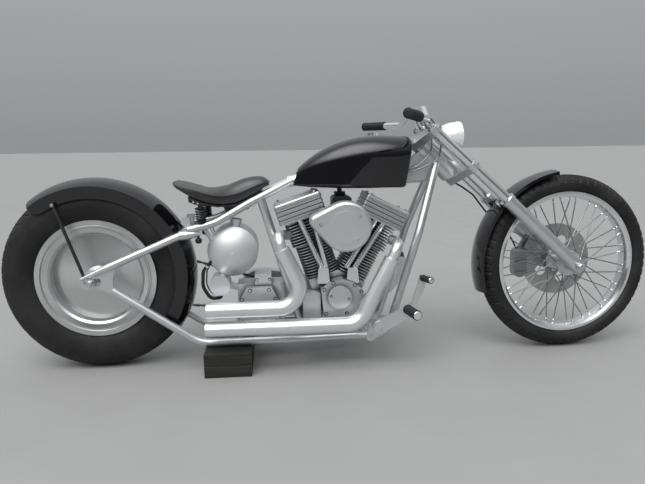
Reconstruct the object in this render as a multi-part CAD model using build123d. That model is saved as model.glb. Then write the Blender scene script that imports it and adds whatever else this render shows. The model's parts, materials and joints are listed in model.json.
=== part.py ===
from build123d import *
import os
from math import asin, atan2, cos, degrees, radians, sin

os.makedirs("parts", exist_ok=True)

# A long, low custom motorcycle with a rigid frame, a raked telescopic fork and a big V-twin engine.
# Millimetres. X runs forward from the rear axle, Y to the rider's left, Z up from the floor.
# Everything is moved back by MIDDLE_X when it is written, so the origin ends up on the floor
# under the middle of the machine.

# Wheels and stance
WHEELBASE = 1813
REAR_TYRE_R = 348
REAR_TYRE_HALF = 72
REAR_RIM_R = REAR_TYRE_R - 131
REAR_RIM_HALF = 62
FRONT_TYRE_R = 347
FRONT_TYRE_HALF = 44
FRONT_RIM_R = FRONT_TYRE_R - 66
FRONT_RIM_HALF = 32
BEAD_GAP = 0.4
MIDDLE_X = (WHEELBASE + FRONT_TYRE_R - REAR_TYRE_R) / 2

# Clearances
SEAT_GAP = 0.3
RUNNING_GAP = 0.05
FACE_GAP = 0.4

# Steering geometry. The legs are parallel to the steering axis and pass through the axle.
RAKE = 47.8
LEG_OFFSET = 64
LEG_SPACING = 195
REST_STEER = 3.0
SLIDER_R = 25.5
SLIDER_TOP = 391
SLIDER_FOOT = 24
SLIDER_BORE_DEPTH = 140
FORK_TUBE_R = 19.5
LOWER_TREE = (560, 588)
UPPER_TREE = (758, 784)
STEM_R = 12.7
NECK_R = 30
NECK_END_GAP = 9
AXLE_R = 12.5

# Frame tubes
RAIL_Y = 112
RAIL_R = 15
UPPER_RAIL_R = 14
UPPER_FRONT_R = 14
RAIL_Z = 104
RAIL_REAR_BEND_X = 372
DOWN_TUBE_R = 15
DOWN_TUBE_Y = 100
FRONT_CORNER_X = 1071
BACKBONE_R = 22
SEAT_TUBE_R = 14
SEAT_TUBE_Y = 64
CROSS_R = 13
CROSS_X = (520, 757, 985)
PLATE_THICK = 8
GUSSET_HALF = 20
TUNNEL_GAP = 6

# Engine. Both cylinder axes meet the crankshaft axis.
CRANK = (881, 203)
CASE_R = 92
CASE_HALF = 52
CYLINDER_ANGLES = (18.5, -26.5)
CYLINDER_BASE = 140
HEAD_BASE = 272
HEAD_TOP = 372
ROCKER_TOP = 450
FIN_PITCH = 11
FIN_THICK = 3
BARREL_R = 47
BARREL_FIN = (132, 124)
HEAD_FIN = (150, 136)
ROCKER_BOX = (178, 156)
ROCKER_SHIFT = -16
TIMING_CENTRE = (891, 265)
TIMING_R = 44

# Drive
GEARBOX_SHAFT = (600, 230)
CHAIN_Y = 87
CHAIN_HALF = 5.5
CHAIN_PITCH_R_REAR = 130
CHAIN_PITCH_R_FRONT = 58
CHAIN_DEPTH = 4
CHAIN_LINKS = 114
SPROCKET_HALF = 2.5
SPROCKET_GAP = 2.5

# Exhaust
PIPE_R = 28.5
PIPE_WALL = 2.5
NECK_PIPE_R = 19
PIPE_Y = -190

# Rear fender
FENDER_CENTRE = (-2, 0, REAR_TYRE_R + 5)
FENDER_R = REAR_TYRE_R + 14
FENDER_HALF = REAR_TYRE_HALF + 7
FENDER_LIP_R = REAR_TYRE_R - 57
FENDER_SKIN = 2.5
FENDER_FROM = -36
FENDER_TO = 128.5

# Front fender
FRONT_FENDER_R = FRONT_TYRE_R + 25
FRONT_FENDER_HALF = FRONT_TYRE_HALF + 8
FRONT_FENDER_LIP_R = FRONT_TYRE_R + 5
FRONT_FENDER_FROM = 99
FRONT_FENDER_TO = 197

# Stand block
BLOCK_X = (391, 561)
BLOCK_HALF = 198
BLOCK_TOP = RAIL_Z - RAIL_R - SEAT_GAP

AXLE_LINE = Axis((0, 0, 0), (0, -1, 0))
REAR_AXLE = (0, 0, REAR_TYRE_R)
FRONT_AXLE = (WHEELBASE, 0, FRONT_TYRE_R)
UP = Vector(-sin(radians(RAKE)), 0, cos(radians(RAKE)))
AHEAD = Vector(cos(radians(RAKE)), 0, sin(radians(RAKE)))


def fork_point(along, ahead=0, side=0):
    """A point up the fork leg line from the front axle, ahead of that line, and to one side."""
    return Vector(*FRONT_AXLE) + UP * along + AHEAD * ahead + Vector(0, side, 0)


def fork_plane(along):
    """A plane across the fork legs: X ahead, Y left, Z up the leg."""
    return Plane(origin=fork_point(along), x_dir=AHEAD, z_dir=UP)


STEER_AXIS = Axis(fork_point(0, -LEG_OFFSET), UP)


def neck_point(along, ahead=0, side=0):
    """A point up the steering axis, ahead of it, and to one side."""
    return fork_point(along, ahead - LEG_OFFSET, side)


BACKBONE_TOP = neck_point(734, -4)
BACKBONE_REAR = Vector(712, 0, 686)


def backbone_z(x):
    """Height of the backbone's centre line."""
    share = (x - BACKBONE_REAR.X) / (BACKBONE_TOP.X - BACKBONE_REAR.X)
    return BACKBONE_REAR.Z + (BACKBONE_TOP.Z - BACKBONE_REAR.Z) * share


def rod(start, end, radius):
    """A straight round bar between two points."""
    start = Vector(start)
    along = Vector(end) - start
    return Solid.make_cylinder(radius, along.length, Plane(origin=start, z_dir=along))


def cone(start, end, start_radius, end_radius):
    """A straight taper between two points."""
    start = Vector(start)
    along = Vector(end) - start
    return Solid.make_cone(start_radius, end_radius, along.length, Plane(origin=start, z_dir=along))


def pipe(points, bend, radius, wall=None):
    """A round tube along straight runs joined by tangent arcs."""
    path = FilletPolyline(*points, radius=bend)
    section = Circle(radius)
    if wall:
        section = section - Circle(radius - wall)
    return sweep(Plane(origin=path @ 0, z_dir=path % 0) * section, path=path)


def turned(outline, centre, start=0, arc=360):
    """An outline of (radius, y) turned about an axle; angles run from +X up towards +Z."""
    face = make_face(outline).rotate(AXLE_LINE, start)
    return Pos(*centre) * revolve(face, AXLE_LINE, arc)


def ring(points):
    """A closed outline of straight lines."""
    return Polyline(*points, close=True)


def side_plate(outline, y_low, y_high):
    """A face drawn as (x, z) in the side view, given thickness from y_low to y_high."""
    return extrude(Plane.XZ.offset(-y_high) * outline, amount=y_high - y_low)


def side_polygon(points, corner=0):
    face = make_face(Polyline(*points, close=True))
    return fillet(face.vertices(), corner) if corner else face


def hull_of(circles):
    """The outline of a belt around circles given as (x, y, radius)."""
    edges = []
    for x, y, radius in circles:
        edges += (Pos(x, y) * Circle(radius)).edges()
    return make_hull(edges)


def both_sides(piece):
    return [piece, mirror(piece, about=Plane.XZ)]


def save(name, *pieces):
    """Write one node as a STEP file, with the origin under the middle of the machine."""
    solids = []
    for piece in pieces:
        for item in piece if isinstance(piece, list) else [piece]:
            solids += item.solids()
    shape = solids[0] if len(solids) == 1 else Compound(children=solids)
    export_step(shape.moved(Location((-MIDDLE_X, 0, 0))), f"parts/{name}.step")


def save_steered(name, *pieces):
    """Write a node of the steering, turned to where the bars rest."""
    flat = []
    for piece in pieces:
        flat += piece if isinstance(piece, list) else [piece]
    save(name, [item.rotate(STEER_AXIS, REST_STEER) for item in flat])


# Rear wheel

def rear_tyre():
    bead = REAR_RIM_R - 13 + BEAD_GAP
    inside = REAR_RIM_HALF - 7 - BEAD_GAP
    flange = REAR_RIM_R + BEAD_GAP
    side_r = REAR_RIM_R + 45
    shoulder_r = REAR_TYRE_R - 24
    shoulder = REAR_TYRE_HALF - 10
    outline = [
        Line((bead, inside), (bead, -inside)),
        Line((bead, -inside), (flange, -inside)),
        ThreePointArc((flange, -inside), (side_r, -REAR_TYRE_HALF), (shoulder_r, -shoulder)),
        ThreePointArc((shoulder_r, -shoulder), (REAR_TYRE_R, 0), (shoulder_r, shoulder)),
        ThreePointArc((shoulder_r, shoulder), (side_r, REAR_TYRE_HALF), (flange, inside)),
        Line((flange, inside), (bead, inside)),
    ]
    return turned(outline, REAR_AXLE)


DISC_R = 165
HUB_R = 43


def rear_rim():
    half = REAR_RIM_HALF
    right = [
        (REAR_RIM_R, -half),
        (REAR_RIM_R - 18, -half),
        (REAR_RIM_R - 22, -half + 5),
        (REAR_RIM_R - 26, -half + 5),
        (REAR_RIM_R - 28, -half + 2),
        (REAR_RIM_R - 44, -half + 5),
        (DISC_R, -half + 12),
    ]
    well = [(REAR_RIM_R, half - 4), (REAR_RIM_R - 13, half - 7), (REAR_RIM_R - 17, half - 22)]
    left = [(r, -y) for r, y in reversed(right)]
    channel = well + [(r, -y) for r, y in reversed(well)]
    return turned(ring(right + left + channel), REAR_AXLE)


def rear_disc():
    edge = DISC_R - SEAT_GAP
    outline = [(edge, -17), (edge, 17), (HUB_R + SEAT_GAP, 26), (HUB_R + SEAT_GAP, -26)]
    return turned(ring(outline), REAR_AXLE)


HUB_END = 58


def rear_hub():
    bore = AXLE_R + RUNNING_GAP
    outline = [
        (bore, -HUB_END), (30, -HUB_END), (33, -HUB_END + 3), (33, -46), (HUB_R, -42),
        (HUB_R, 42), (33, 46), (33, CHAIN_Y - SPROCKET_HALF - 12), (48, CHAIN_Y - SPROCKET_HALF - 12),
        (48, CHAIN_Y - SPROCKET_HALF), (bore, CHAIN_Y - SPROCKET_HALF),
    ]
    return turned(ring(outline), REAR_AXLE)


def rear_sprocket():
    tip = CHAIN_PITCH_R_REAR - CHAIN_DEPTH - SPROCKET_GAP
    plate = Circle(tip) - Circle(AXLE_R + 6)
    plate -= PolarLocations(72, 6) * Circle(17)
    plate -= PolarLocations(tip + 1.5, 51) * Circle(4.2)
    return Pos(0, 0, REAR_TYRE_R) * side_plate(plate, CHAIN_Y - SPROCKET_HALF, CHAIN_Y + SPROCKET_HALF)


# Front wheel

def front_tyre():
    bead = FRONT_RIM_R - 13 + BEAD_GAP
    inside = FRONT_RIM_HALF - 5 - BEAD_GAP
    flange = FRONT_RIM_R + BEAD_GAP
    side_r = FRONT_RIM_R + 28
    shoulder_r = FRONT_TYRE_R - 15
    shoulder = FRONT_TYRE_HALF - 9
    outline = [
        Line((bead, inside), (bead, -inside)),
        Line((bead, -inside), (flange, -inside)),
        ThreePointArc((flange, -inside), (side_r, -FRONT_TYRE_HALF), (shoulder_r, -shoulder)),
        ThreePointArc((shoulder_r, -shoulder), (FRONT_TYRE_R, 0), (shoulder_r, shoulder)),
        ThreePointArc((shoulder_r, shoulder), (side_r, FRONT_TYRE_HALF), (flange, inside)),
        Line((flange, inside), (bead, inside)),
    ]
    return turned(outline, FRONT_AXLE)


RIM_INNER_R = FRONT_RIM_R - 23


def front_rim():
    half = FRONT_RIM_HALF
    right = [
        (FRONT_RIM_R, -half),
        (FRONT_RIM_R - 10, -half),
        (FRONT_RIM_R - 19, -half + 5),
        (RIM_INNER_R, -half + 17),
    ]
    well = [(FRONT_RIM_R, half - 3), (FRONT_RIM_R - 13, half - 5), (FRONT_RIM_R - 17, half - 18)]
    left = [(r, -y) for r, y in reversed(right)]
    channel = well + [(r, -y) for r, y in reversed(well)]
    return turned(ring(right + left + channel), FRONT_AXLE)


FLANGE_Y = 46
FLANGE_HALF = 2.5
FLANGE_R = 51
FRONT_HUB_END = 62
ROTOR_Y = 57
ROTOR_R = 146
SPOKE_R = 2.2
SPOKE_HOLE_R = 48
SPOKE_COUNT = 40
SPOKE_SWING = 42


def front_hub():
    bore = AXLE_R + RUNNING_GAP
    outline = [
        (bore, -FRONT_HUB_END), (28, -FRONT_HUB_END), (28, -FLANGE_Y - FLANGE_HALF),
        (FLANGE_R, -FLANGE_Y - FLANGE_HALF), (FLANGE_R, -FLANGE_Y + FLANGE_HALF),
        (44, -FLANGE_Y + FLANGE_HALF), (32, -FLANGE_Y + FLANGE_HALF + 6), (26, 0), (32, 30),
        (44, 33), (FLANGE_R, 33), (FLANGE_R, 38), (44, 38), (40, 41), (40, ROTOR_Y - 3),
        (30, ROTOR_Y - 3), (30, FRONT_HUB_END), (bore, FRONT_HUB_END),
    ]
    return turned(ring(outline), FRONT_AXLE)


def front_spokes():
    """Spokes leave each flange from both faces and cross on their way to the rim."""
    spokes = []
    clear = FLANGE_HALF + SPOKE_R + SEAT_GAP + 0.8
    # side of the wheel, y of the flange, y of the rim holes
    flanges = [(-1, -FLANGE_Y, -7), (1, 35.5, 7)]
    per_set = SPOKE_COUNT // 4
    for side, flange_y, rim_y in flanges:
        for face in (-1, 1):
            for turn in range(per_set):
                spread = 360 / per_set
                angle = radians(turn * spread + (side + 1) * spread / 4 + (face + 1) * spread / 4)
                swing = radians(face * SPOKE_SWING)
                start_y = flange_y + face * side * clear
                end_y = rim_y + face * side * 2.5
                end_r = RIM_INNER_R - SEAT_GAP
                start = (
                    WHEELBASE + SPOKE_HOLE_R * cos(angle), start_y, FRONT_TYRE_R + SPOKE_HOLE_R * sin(angle)
                )
                end = (
                    WHEELBASE + end_r * cos(angle + swing), end_y, FRONT_TYRE_R + end_r * sin(angle + swing)
                )
                spokes.append(rod(start, end, SPOKE_R))
    return spokes


def front_rotor():
    plate = Circle(ROTOR_R) - Circle(31)
    plate -= PolarLocations(78, 5) * Circle(22)
    return Pos(WHEELBASE, 0, FRONT_TYRE_R) * side_plate(plate, ROTOR_Y - 2.5, ROTOR_Y + 2.5)


# Steering

def fork_sliders():
    half = LEG_SPACING / 2
    sliders = []
    for side in (-1, 1):
        body = rod(fork_point(-SLIDER_FOOT, 0, side * half), fork_point(SLIDER_TOP, 0, side * half), SLIDER_R)
        collar = rod(
            fork_point(SLIDER_TOP - 14, 0, side * half), fork_point(SLIDER_TOP, 0, side * half), SLIDER_R + 3
        )
        bore = rod(
            fork_point(SLIDER_TOP - SLIDER_BORE_DEPTH, 0, side * half),
            fork_point(SLIDER_TOP + 5, 0, side * half),
            FORK_TUBE_R + RUNNING_GAP,
        )
        outside = fork_point(0, 0, side * (half + 40))
        hole = rod(outside, fork_point(0, 0, side * (half - 40)), AXLE_R + RUNNING_GAP)
        sliders.append(body + collar - bore - hole)
    return sliders


def fork_tubes():
    half = LEG_SPACING / 2
    tubes = []
    for side in (-1, 1):
        foot = fork_point(SLIDER_TOP - SLIDER_BORE_DEPTH + SEAT_GAP, 0, side * half)
        tubes.append(rod(foot, fork_point(UPPER_TREE[1] + 6, 0, side * half), FORK_TUBE_R))
    return tubes


def triple_trees():
    """Lower and upper tree with the stem between them, its bearing collars and nuts."""
    half = LEG_SPACING / 2
    trees = None
    for low, high in (LOWER_TREE, UPPER_TREE):
        outline = hull_of([(-LEG_OFFSET, 0, 24), (0, half, 25), (0, -half, 25)])
        plate = fork_plane(low) * extrude(outline, high - low)
        for side in (-1, 1):
            below = fork_point(low - 5, 0, side * half)
            plate -= rod(below, fork_point(high + 5, 0, side * half), FORK_TUBE_R + RUNNING_GAP)
        trees = plate if trees is None else trees + plate
    low = LOWER_TREE[0]
    high = UPPER_TREE[1]
    stem = rod(neck_point(low - 4), neck_point(high + 5), STEM_R)
    race = rod(neck_point(LOWER_TREE[1]), neck_point(LOWER_TREE[1] + NECK_END_GAP - FACE_GAP), 22)
    nut = rod(neck_point(UPPER_TREE[0] - NECK_END_GAP + FACE_GAP), neck_point(UPPER_TREE[0]), 22)
    foot = cone(neck_point(low), neck_point(low - 4), 20, 16)
    top = rod(neck_point(high), neck_point(high + 6), 18)
    return trees + stem + race + nut + foot + top


BAR_R = 12.7
BAR_TOP_Z = 944
GRIP_R = 17.5
GRIP_LENGTH = 122
BAR_END = (1071, 350, 906)
BAR_ELBOW = (1190, 167, 900)
BAR_RISE = (1206, 70, BAR_TOP_Z)
RISER_Y = 45


def flipped(point):
    return (point[0], -point[1], point[2])


def handlebar(trees):
    cap = 6
    outward = (Vector(*BAR_ELBOW) - Vector(*BAR_END)).normalized()
    end = Vector(*BAR_END) + outward * (cap + SEAT_GAP)
    end = (end.X, end.Y, end.Z)
    points = [flipped(end), flipped(BAR_ELBOW), flipped(BAR_RISE), BAR_RISE, BAR_ELBOW, end]
    bar = pipe(points, 45, BAR_R)
    for side in (-1, 1):
        foot = fork_point(UPPER_TREE[1], 8, side * RISER_Y)
        bar += rod((foot.X, foot.Y, foot.Z), (BAR_RISE[0], side * RISER_Y, BAR_TOP_Z), 15)
    return bar - trees


def grips():
    made = []
    outward = (Vector(*BAR_ELBOW) - Vector(*BAR_END)).normalized()
    end = Vector(*BAR_END)
    inner = end + outward * GRIP_LENGTH
    grip = rod(end, inner, GRIP_R) - rod(end + outward * 6, inner + outward * 5, BAR_R + RUNNING_GAP)
    return both_sides(grip)


LAMP = (1368, 846)
LAMP_R = 54
LAMP_LENGTH = 102


def headlight(trees):
    x, z = LAMP
    outline = [
        Line((0, 0), (0, LAMP_LENGTH)),
        ThreePointArc((0, LAMP_LENGTH), (LAMP_R * 0.78, LAMP_LENGTH * 0.62), (LAMP_R, 18)),
        Polyline((LAMP_R, 18), (LAMP_R, 12), (LAMP_R + 2.5, 10), (LAMP_R + 2.5, 0), (0, 0)),
    ]
    shell = revolve(make_face(outline), Axis.Y)
    pocket = Solid.make_cylinder(LAMP_R - 5, 12, Plane(origin=(0, -1, 0), z_dir=(0, 1, 0)))
    lamp = Pos(x, 0, z) * ((shell - pocket).rotate(Axis.Z, 90))
    foot = fork_point(LOWER_TREE[1] + SEAT_GAP, 4)
    stalk = rod((foot.X, 0, foot.Z), (x - 42, 0, z - LAMP_R + 12), 10)
    return lamp + (stalk - trees)


def headlight_lens():
    x, z = LAMP
    return rod((x - 10.5, 0, z), (x + 1, 0, z), LAMP_R - 5 - SEAT_GAP)


def fender_section(crown_r, half, lip_r, skin):
    """An inverted U in (radius, y), a shallow arc across and straight sides down to the lips."""
    knee = (crown_r + lip_r) / 2 + (crown_r - lip_r) * 0.12
    inner = half - skin
    return [
        Line((lip_r, -half), (knee, -half)),
        ThreePointArc((knee, -half), (crown_r, 0), (knee, half)),
        Line((knee, half), (lip_r, half)),
        Line((lip_r, half), (lip_r, inner)),
        Line((lip_r, inner), (knee - skin * 0.4, inner)),
        ThreePointArc((knee - skin * 0.4, inner), (crown_r - skin, 0), (knee - skin * 0.4, -inner)),
        Line((knee - skin * 0.4, -inner), (lip_r, -inner)),
        Line((lip_r, -inner), (lip_r, -half)),
    ]


def front_fender():
    section = fender_section(FRONT_FENDER_R, FRONT_FENDER_HALF, FRONT_FENDER_LIP_R, 2.5)
    arc = FRONT_FENDER_TO - FRONT_FENDER_FROM
    skin = turned(section, FRONT_AXLE, FRONT_FENDER_FROM, arc)
    half = LEG_SPACING / 2
    inner = half - SLIDER_R - SEAT_GAP
    for side in (-1, 1):
        low = fork_point(300, -6, side * FRONT_FENDER_HALF)
        high = fork_point(362, -6, side * FRONT_FENDER_HALF)
        for place in (318, 352):
            skin += rod(
                fork_point(place, -4, side * (FRONT_FENDER_HALF - 2)), fork_point(place, -4, side * inner), 7
            )
        tab = side_plate(
            side_polygon([
                (low.X - 14, low.Z - 14), (low.X + 14, low.Z + 6),
                (high.X + 10, high.Z + 16), (high.X - 26, high.Z - 2),
            ]),
            min(side * FRONT_FENDER_HALF, side * (FRONT_FENDER_HALF - 2.5)),
            max(side * FRONT_FENDER_HALF, side * (FRONT_FENDER_HALF - 2.5)),
        )
        skin += tab
    return skin


def front_axle():
    half = LEG_SPACING / 2
    end = half + SLIDER_R + 4
    spacer = half - SLIDER_R - 1.5
    axle = rod((WHEELBASE, -end, FRONT_TYRE_R), (WHEELBASE, end, FRONT_TYRE_R), AXLE_R)
    for side in (-1, 1):
        inner = (WHEELBASE, side * (FRONT_HUB_END + FACE_GAP), FRONT_TYRE_R)
        axle += rod(inner, (WHEELBASE, side * spacer, FRONT_TYRE_R), 18)
        nut_foot = (WHEELBASE, side * (end - 3), FRONT_TYRE_R)
        axle += rod(nut_foot, (WHEELBASE, side * (end + 5), FRONT_TYRE_R), 17)
    return axle


def brake_caliper(sliders):
    """A caliper astride the rotor behind the left leg, with the lug that bolts to the slider."""
    x = WHEELBASE - 160
    z = FRONT_TYRE_R - 8
    body = side_plate(hull_of([(x, z + 34, 27), (x, z - 34, 27)]), ROTOR_Y - 22, ROTOR_Y + 22)
    body = fillet(body.faces().sort_by(Axis.Y)[-1].edges(), 6)
    for piston in (-30, 30):
        body += rod((x, ROTOR_Y + 20, z + piston), (x, ROTOR_Y + 27, z + piston), 17)
    slot = Pos(x + 40, ROTOR_Y, z) * Box(104, 5 + 2 * 5, 140)
    lug_foot = fork_point(150, -10)
    lug = side_plate(
        side_polygon([
            (x - 20, z + 20), (x + 26, z + 10), (lug_foot.X + 14, lug_foot.Z - 14), (lug_foot.X - 4, lug_foot.Z + 12),
        ]),
        ROTOR_Y + 9, ROTOR_Y + 24,
    )
    return body - slot + (lug - sliders[1])


HOSE_R = 3.5
# Distance up the fork leg, ahead of it, and to the left
BRAKE_HOSE = [
    (556, -56, 84), (500, -42, 84), (440, -34, 84), (380, -44, 86), (330, -52, 84), (200, -58, 72), (163, -74, 64),
]


def brake_hose(trees, caliper):
    """A hose that hangs from the lower tree behind the left leg and ends on top of the caliper."""
    points = [tuple(fork_point(*place)) for place in BRAKE_HOSE]
    hose = pipe(points, 60, HOSE_R) - trees - caliper
    return hose.solids().sort_by(SortBy.VOLUME)[-1]


# Frame

def steering_neck():
    low = LOWER_TREE[1] + NECK_END_GAP
    high = UPPER_TREE[0] - NECK_END_GAP
    neck = rod(neck_point(low), neck_point(high), NECK_R)
    neck += rod(BACKBONE_TOP, BACKBONE_REAR, BACKBONE_R)
    bend = (1040, 0, 678)
    neck += rod(neck_point(638, -51), bend, 13) + rod(bend, (980, 0, 730), 13)
    corners = [neck_point(730, 10), neck_point(647, 9), neck_point(641, -53)]
    gusset = [(1160, 678), (1120, 690), (1120, 775)] + [(p.X, p.Z) for p in corners]
    neck += side_plate(side_polygon(gusset), -GUSSET_HALF, GUSSET_HALF)
    for x in (800, 1090):
        reach = BACKBONE_R + TUNNEL_GAP - SEAT_GAP
        neck += rod((x, -reach, backbone_z(x)), (x, reach, backbone_z(x)), 14)
    bore = rod(neck_point(low - 5), neck_point(high + 5), STEM_R + RUNNING_GAP)
    above = rod(neck_point(high), neck_point(high + 60), 70)
    return neck - bore - above


# Where a down tube meets the upturned front end of a lower rail
TUBE_JOINT = (1099.4, -DOWN_TUBE_Y, 193)


def frame_down_tubes(neck):
    """From the neck down and outward, then straight to the upturned end of a lower rail."""
    points = [
        neck_point(669, -2, -22),
        (1190, -DOWN_TUBE_Y, 492),
        (TUBE_JOINT[0], TUBE_JOINT[1], TUBE_JOINT[2] + SEAT_GAP),
    ]
    tube = pipe(points, 200, DOWN_TUBE_R) - neck
    tube = tube.solids().sort_by(SortBy.VOLUME)[-1]
    return both_sides(tube)


def frame_lower_rails(plates):
    """From the axle plate down, along the floor line, and up round the front corner."""
    points = [
        (70, -RAIL_Y, REAR_TYRE_R - 32),
        (RAIL_REAR_BEND_X, -RAIL_Y, RAIL_Z),
        (700, -RAIL_Y, RAIL_Z),
        (900, -DOWN_TUBE_Y, RAIL_Z),
        (FRONT_CORNER_X, -DOWN_TUBE_Y, RAIL_Z),
        TUBE_JOINT,
    ]
    path = FilletPolyline(*points, radius=[150, 300, 300, 60])
    tube = sweep(Plane(origin=path @ 0, z_dir=path % 0) * Circle(RAIL_R), path=path) - plates[0]
    return both_sides(tube)


UPPER_NOSE_LENGTH = 102
UPPER_REAR = [(60, -RAIL_Y, REAR_TYRE_R + 52), (318, -104, 507)]
UPPER_FRONT = [(346, -102, 527), (440, -89, 547), (573, -67, 619), (722, -28, 690)]
# The blunt closed end of the rear tube: its middle line, then radius and share of the length
UPPER_END = [(316, -104, 507), (391, -98, 512)]
UPPER_END_FORM = [(17.5, 0), (17, 0.35), (13, 0.7), (5, 1)]


def upper_rear_tube(clear=0):
    """The straight rear tube with its tapered nose, or the room it takes with a clearance round it."""
    start = Vector(*UPPER_REAR[0])
    nose = start - (Vector(*UPPER_REAR[1]) - start).normalized() * UPPER_NOSE_LENGTH
    tube = rod(start, UPPER_REAR[1], UPPER_RAIL_R + clear)
    return tube + cone(nose, start, UPPER_RAIL_R - 8 + clear, UPPER_RAIL_R + clear)


def frame_upper_rails(neck):
    """From a tapered nose behind the axle to a blunt end, and on from above that to the backbone."""
    rear = upper_rear_tube()
    start = Vector(*UPPER_END[0])
    along = Vector(*UPPER_END[1]) - start
    profile = [(0, 0)] + [(radius, along.length * share) for radius, share in UPPER_END_FORM] + [(0, along.length)]
    end = revolve(make_face(ring(profile)), Axis.Y)
    rear += Plane(origin=start, z_dir=along) * (Rot(90, 0, 0) * end)
    front = pipe(UPPER_FRONT, 200, UPPER_FRONT_R) - neck
    front = front.solids().sort_by(SortBy.VOLUME)[-1]
    return both_sides(rear + front)


def frame_seat_tubes(rails):
    tube = rod((606.5, -60, 630), (757, -SEAT_TUBE_Y, 118), SEAT_TUBE_R)
    return both_sides(tube - rails[0])


SADDLE_HINGE = (546, 598)
HINGE_BAR_R = 8


def frame_cross_tubes(lower, upper):
    """Cross tubes under the gearbox and engine, one for the fender and one for the saddle's nose."""
    tubes = []
    for x in CROSS_X:
        tube = rod((x, -RAIL_Y, RAIL_Z), (x, RAIL_Y, RAIL_Z), CROSS_R) - lower[0] - lower[1]
        tubes.append(tube.solids().sort_by(SortBy.VOLUME)[-1])
    reach = FENDER_R + CROSS_R + SEAT_GAP
    slope = radians(26.3)
    x = FENDER_CENTRE[0] + reach * cos(slope)
    z = FENDER_CENTRE[2] + reach * sin(slope)
    bracket = side_polygon([(x - 16, z + 28), (x - 12, z + 46), (x + 17, z + 46), (x + 12, z)], 2)
    hinge_x, hinge_z = SADDLE_HINGE
    fender_tube = rod((x, -RAIL_Y, z), (x, RAIL_Y, z), CROSS_R)
    for side in (-1, 1):
        fender_tube += side_plate(bracket, side * 62 - 12, side * 62 + 12)
    hinge_bar = rod((hinge_x, -RAIL_Y, hinge_z), (hinge_x, RAIL_Y, hinge_z), HINGE_BAR_R)
    for tube in (fender_tube, hinge_bar):
        tube = tube - upper[0] - upper[1]
        tubes.append(tube.solids().sort_by(SortBy.VOLUME)[-1])
    return tubes


def axle_plates():
    """Plates that hang under the upper rails, with a slot for the axle and a curved front edge."""
    outline = make_face([
        Polyline((87, -51), (30, -30), (-12, -26)),
        ThreePointArc((-12, -26), (-47, 4), (-22, 36)),
        Polyline((-22, 36), (30, 48), (99, 60)),
        ThreePointArc((99, 60), (74, -2), (87, -51)),
    ])
    slot = Pos(4, 0) * SlotOverall(62, 2 * AXLE_R + 1)
    plate = side_plate(outline - slot, -RAIL_Y, -RAIL_Y + PLATE_THICK)
    plate = Pos(0, 0, REAR_TYRE_R) * plate - upper_rear_tube(RUNNING_GAP)
    return both_sides(plate.solids().sort_by(SortBy.VOLUME)[-1])


def rear_axle():
    end = RAIL_Y + 16
    axle = rod((0, -end, REAR_TYRE_R), (0, end, REAR_TYRE_R), AXLE_R)
    for side, inner in ((-1, HUB_END), (1, CHAIN_Y + SPROCKET_HALF + 2)):
        plate_in = RAIL_Y - PLATE_THICK - SEAT_GAP
        axle += rod((0, side * (inner + FACE_GAP), REAR_TYRE_R), (0, side * plate_in, REAR_TYRE_R), 17)
        plate_out = RAIL_Y + SEAT_GAP
        axle += rod((0, side * plate_out, REAR_TYRE_R), (0, side * (plate_out + 12), REAR_TYRE_R), 14.5)
    return axle


def rear_fender():
    section = fender_section(FENDER_R, FENDER_HALF, FENDER_LIP_R, FENDER_SKIN)
    fender = turned(section, FENDER_CENTRE, FENDER_FROM, FENDER_TO - FENDER_FROM)
    tail = [edge for edge in fender.edges().filter_by(Axis.Y) if edge.center().X < -150 and edge.length < 4]
    return fillet(tail, 34)


STRUT_R = 6


def fender_struts(rails, plates):
    """Round stays from the noses of the upper rails up to the fender's side walls."""
    top = (-118, -FENDER_HALF - STRUT_R - SEAT_GAP, REAR_TYRE_R + 277)
    foot = (-25, -RAIL_Y, REAR_TYRE_R + 22)
    strut = rod(top, foot, STRUT_R) - rails[0] - plates[0]
    strut = strut.solids().sort_by(SortBy.VOLUME)[-1]
    strut += rod(top, (top[0], top[1] - STRUT_R - 3, top[2]), 8)
    return both_sides(strut)


def rear_caliper():
    """Astride the front edge of the sprocket, which is also the brake disc, and fixed to the left plate."""
    x = CHAIN_PITCH_R_REAR - 12
    outer = RAIL_Y - PLATE_THICK - SEAT_GAP
    body = Pos(x, REAR_TYRE_R + 8) * RectangleRounded(64, 72, 14)
    arm = side_polygon([(66, 28), (94, 46), (116, 38), (100, 10)])
    made = side_plate(body, CHAIN_Y - 23, outer) + Pos(0, 0, REAR_TYRE_R) * side_plate(arm, outer - 8, outer)
    reach = CHAIN_PITCH_R_REAR - CHAIN_DEPTH + 4
    return made - side_plate(Pos(0, REAR_TYRE_R) * Circle(reach), CHAIN_Y - 7.5, CHAIN_Y + 7.5)


# Seat and tank

# Underside of the cushion in the side view, from nose to rear; the pan lies close under it
SADDLE_UNDER = [(625, 668), (597, 646), (550, 624), (513, 612), (454, 612), (408, 623), (354, 648), (300, 684)]
PAN_GAP = 0.4
PAN_THICK = 7


def seat_cushion():
    rear_top = [(290, 690), (290, 698), (309, 707), (405, 676)]
    front_top = [(471, 673), (538, 700), (588, 711), (626, 708), (645, 688)]
    body = side_plate(side_polygon(rear_top + front_top + SADDLE_UNDER), -120, 120)
    plan = make_face([
        ThreePointArc((330, -118), (288, 0), (330, 118)),
        Polyline((330, 118), (430, 112), (540, 66), (636, 38)),
        ThreePointArc((636, 38), (652, 0), (636, -38)),
        Polyline((636, -38), (540, -66), (430, -112), (330, -118)),
    ])
    return body & (Pos(0, 0, 580) * extrude(plan, 160))


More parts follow.
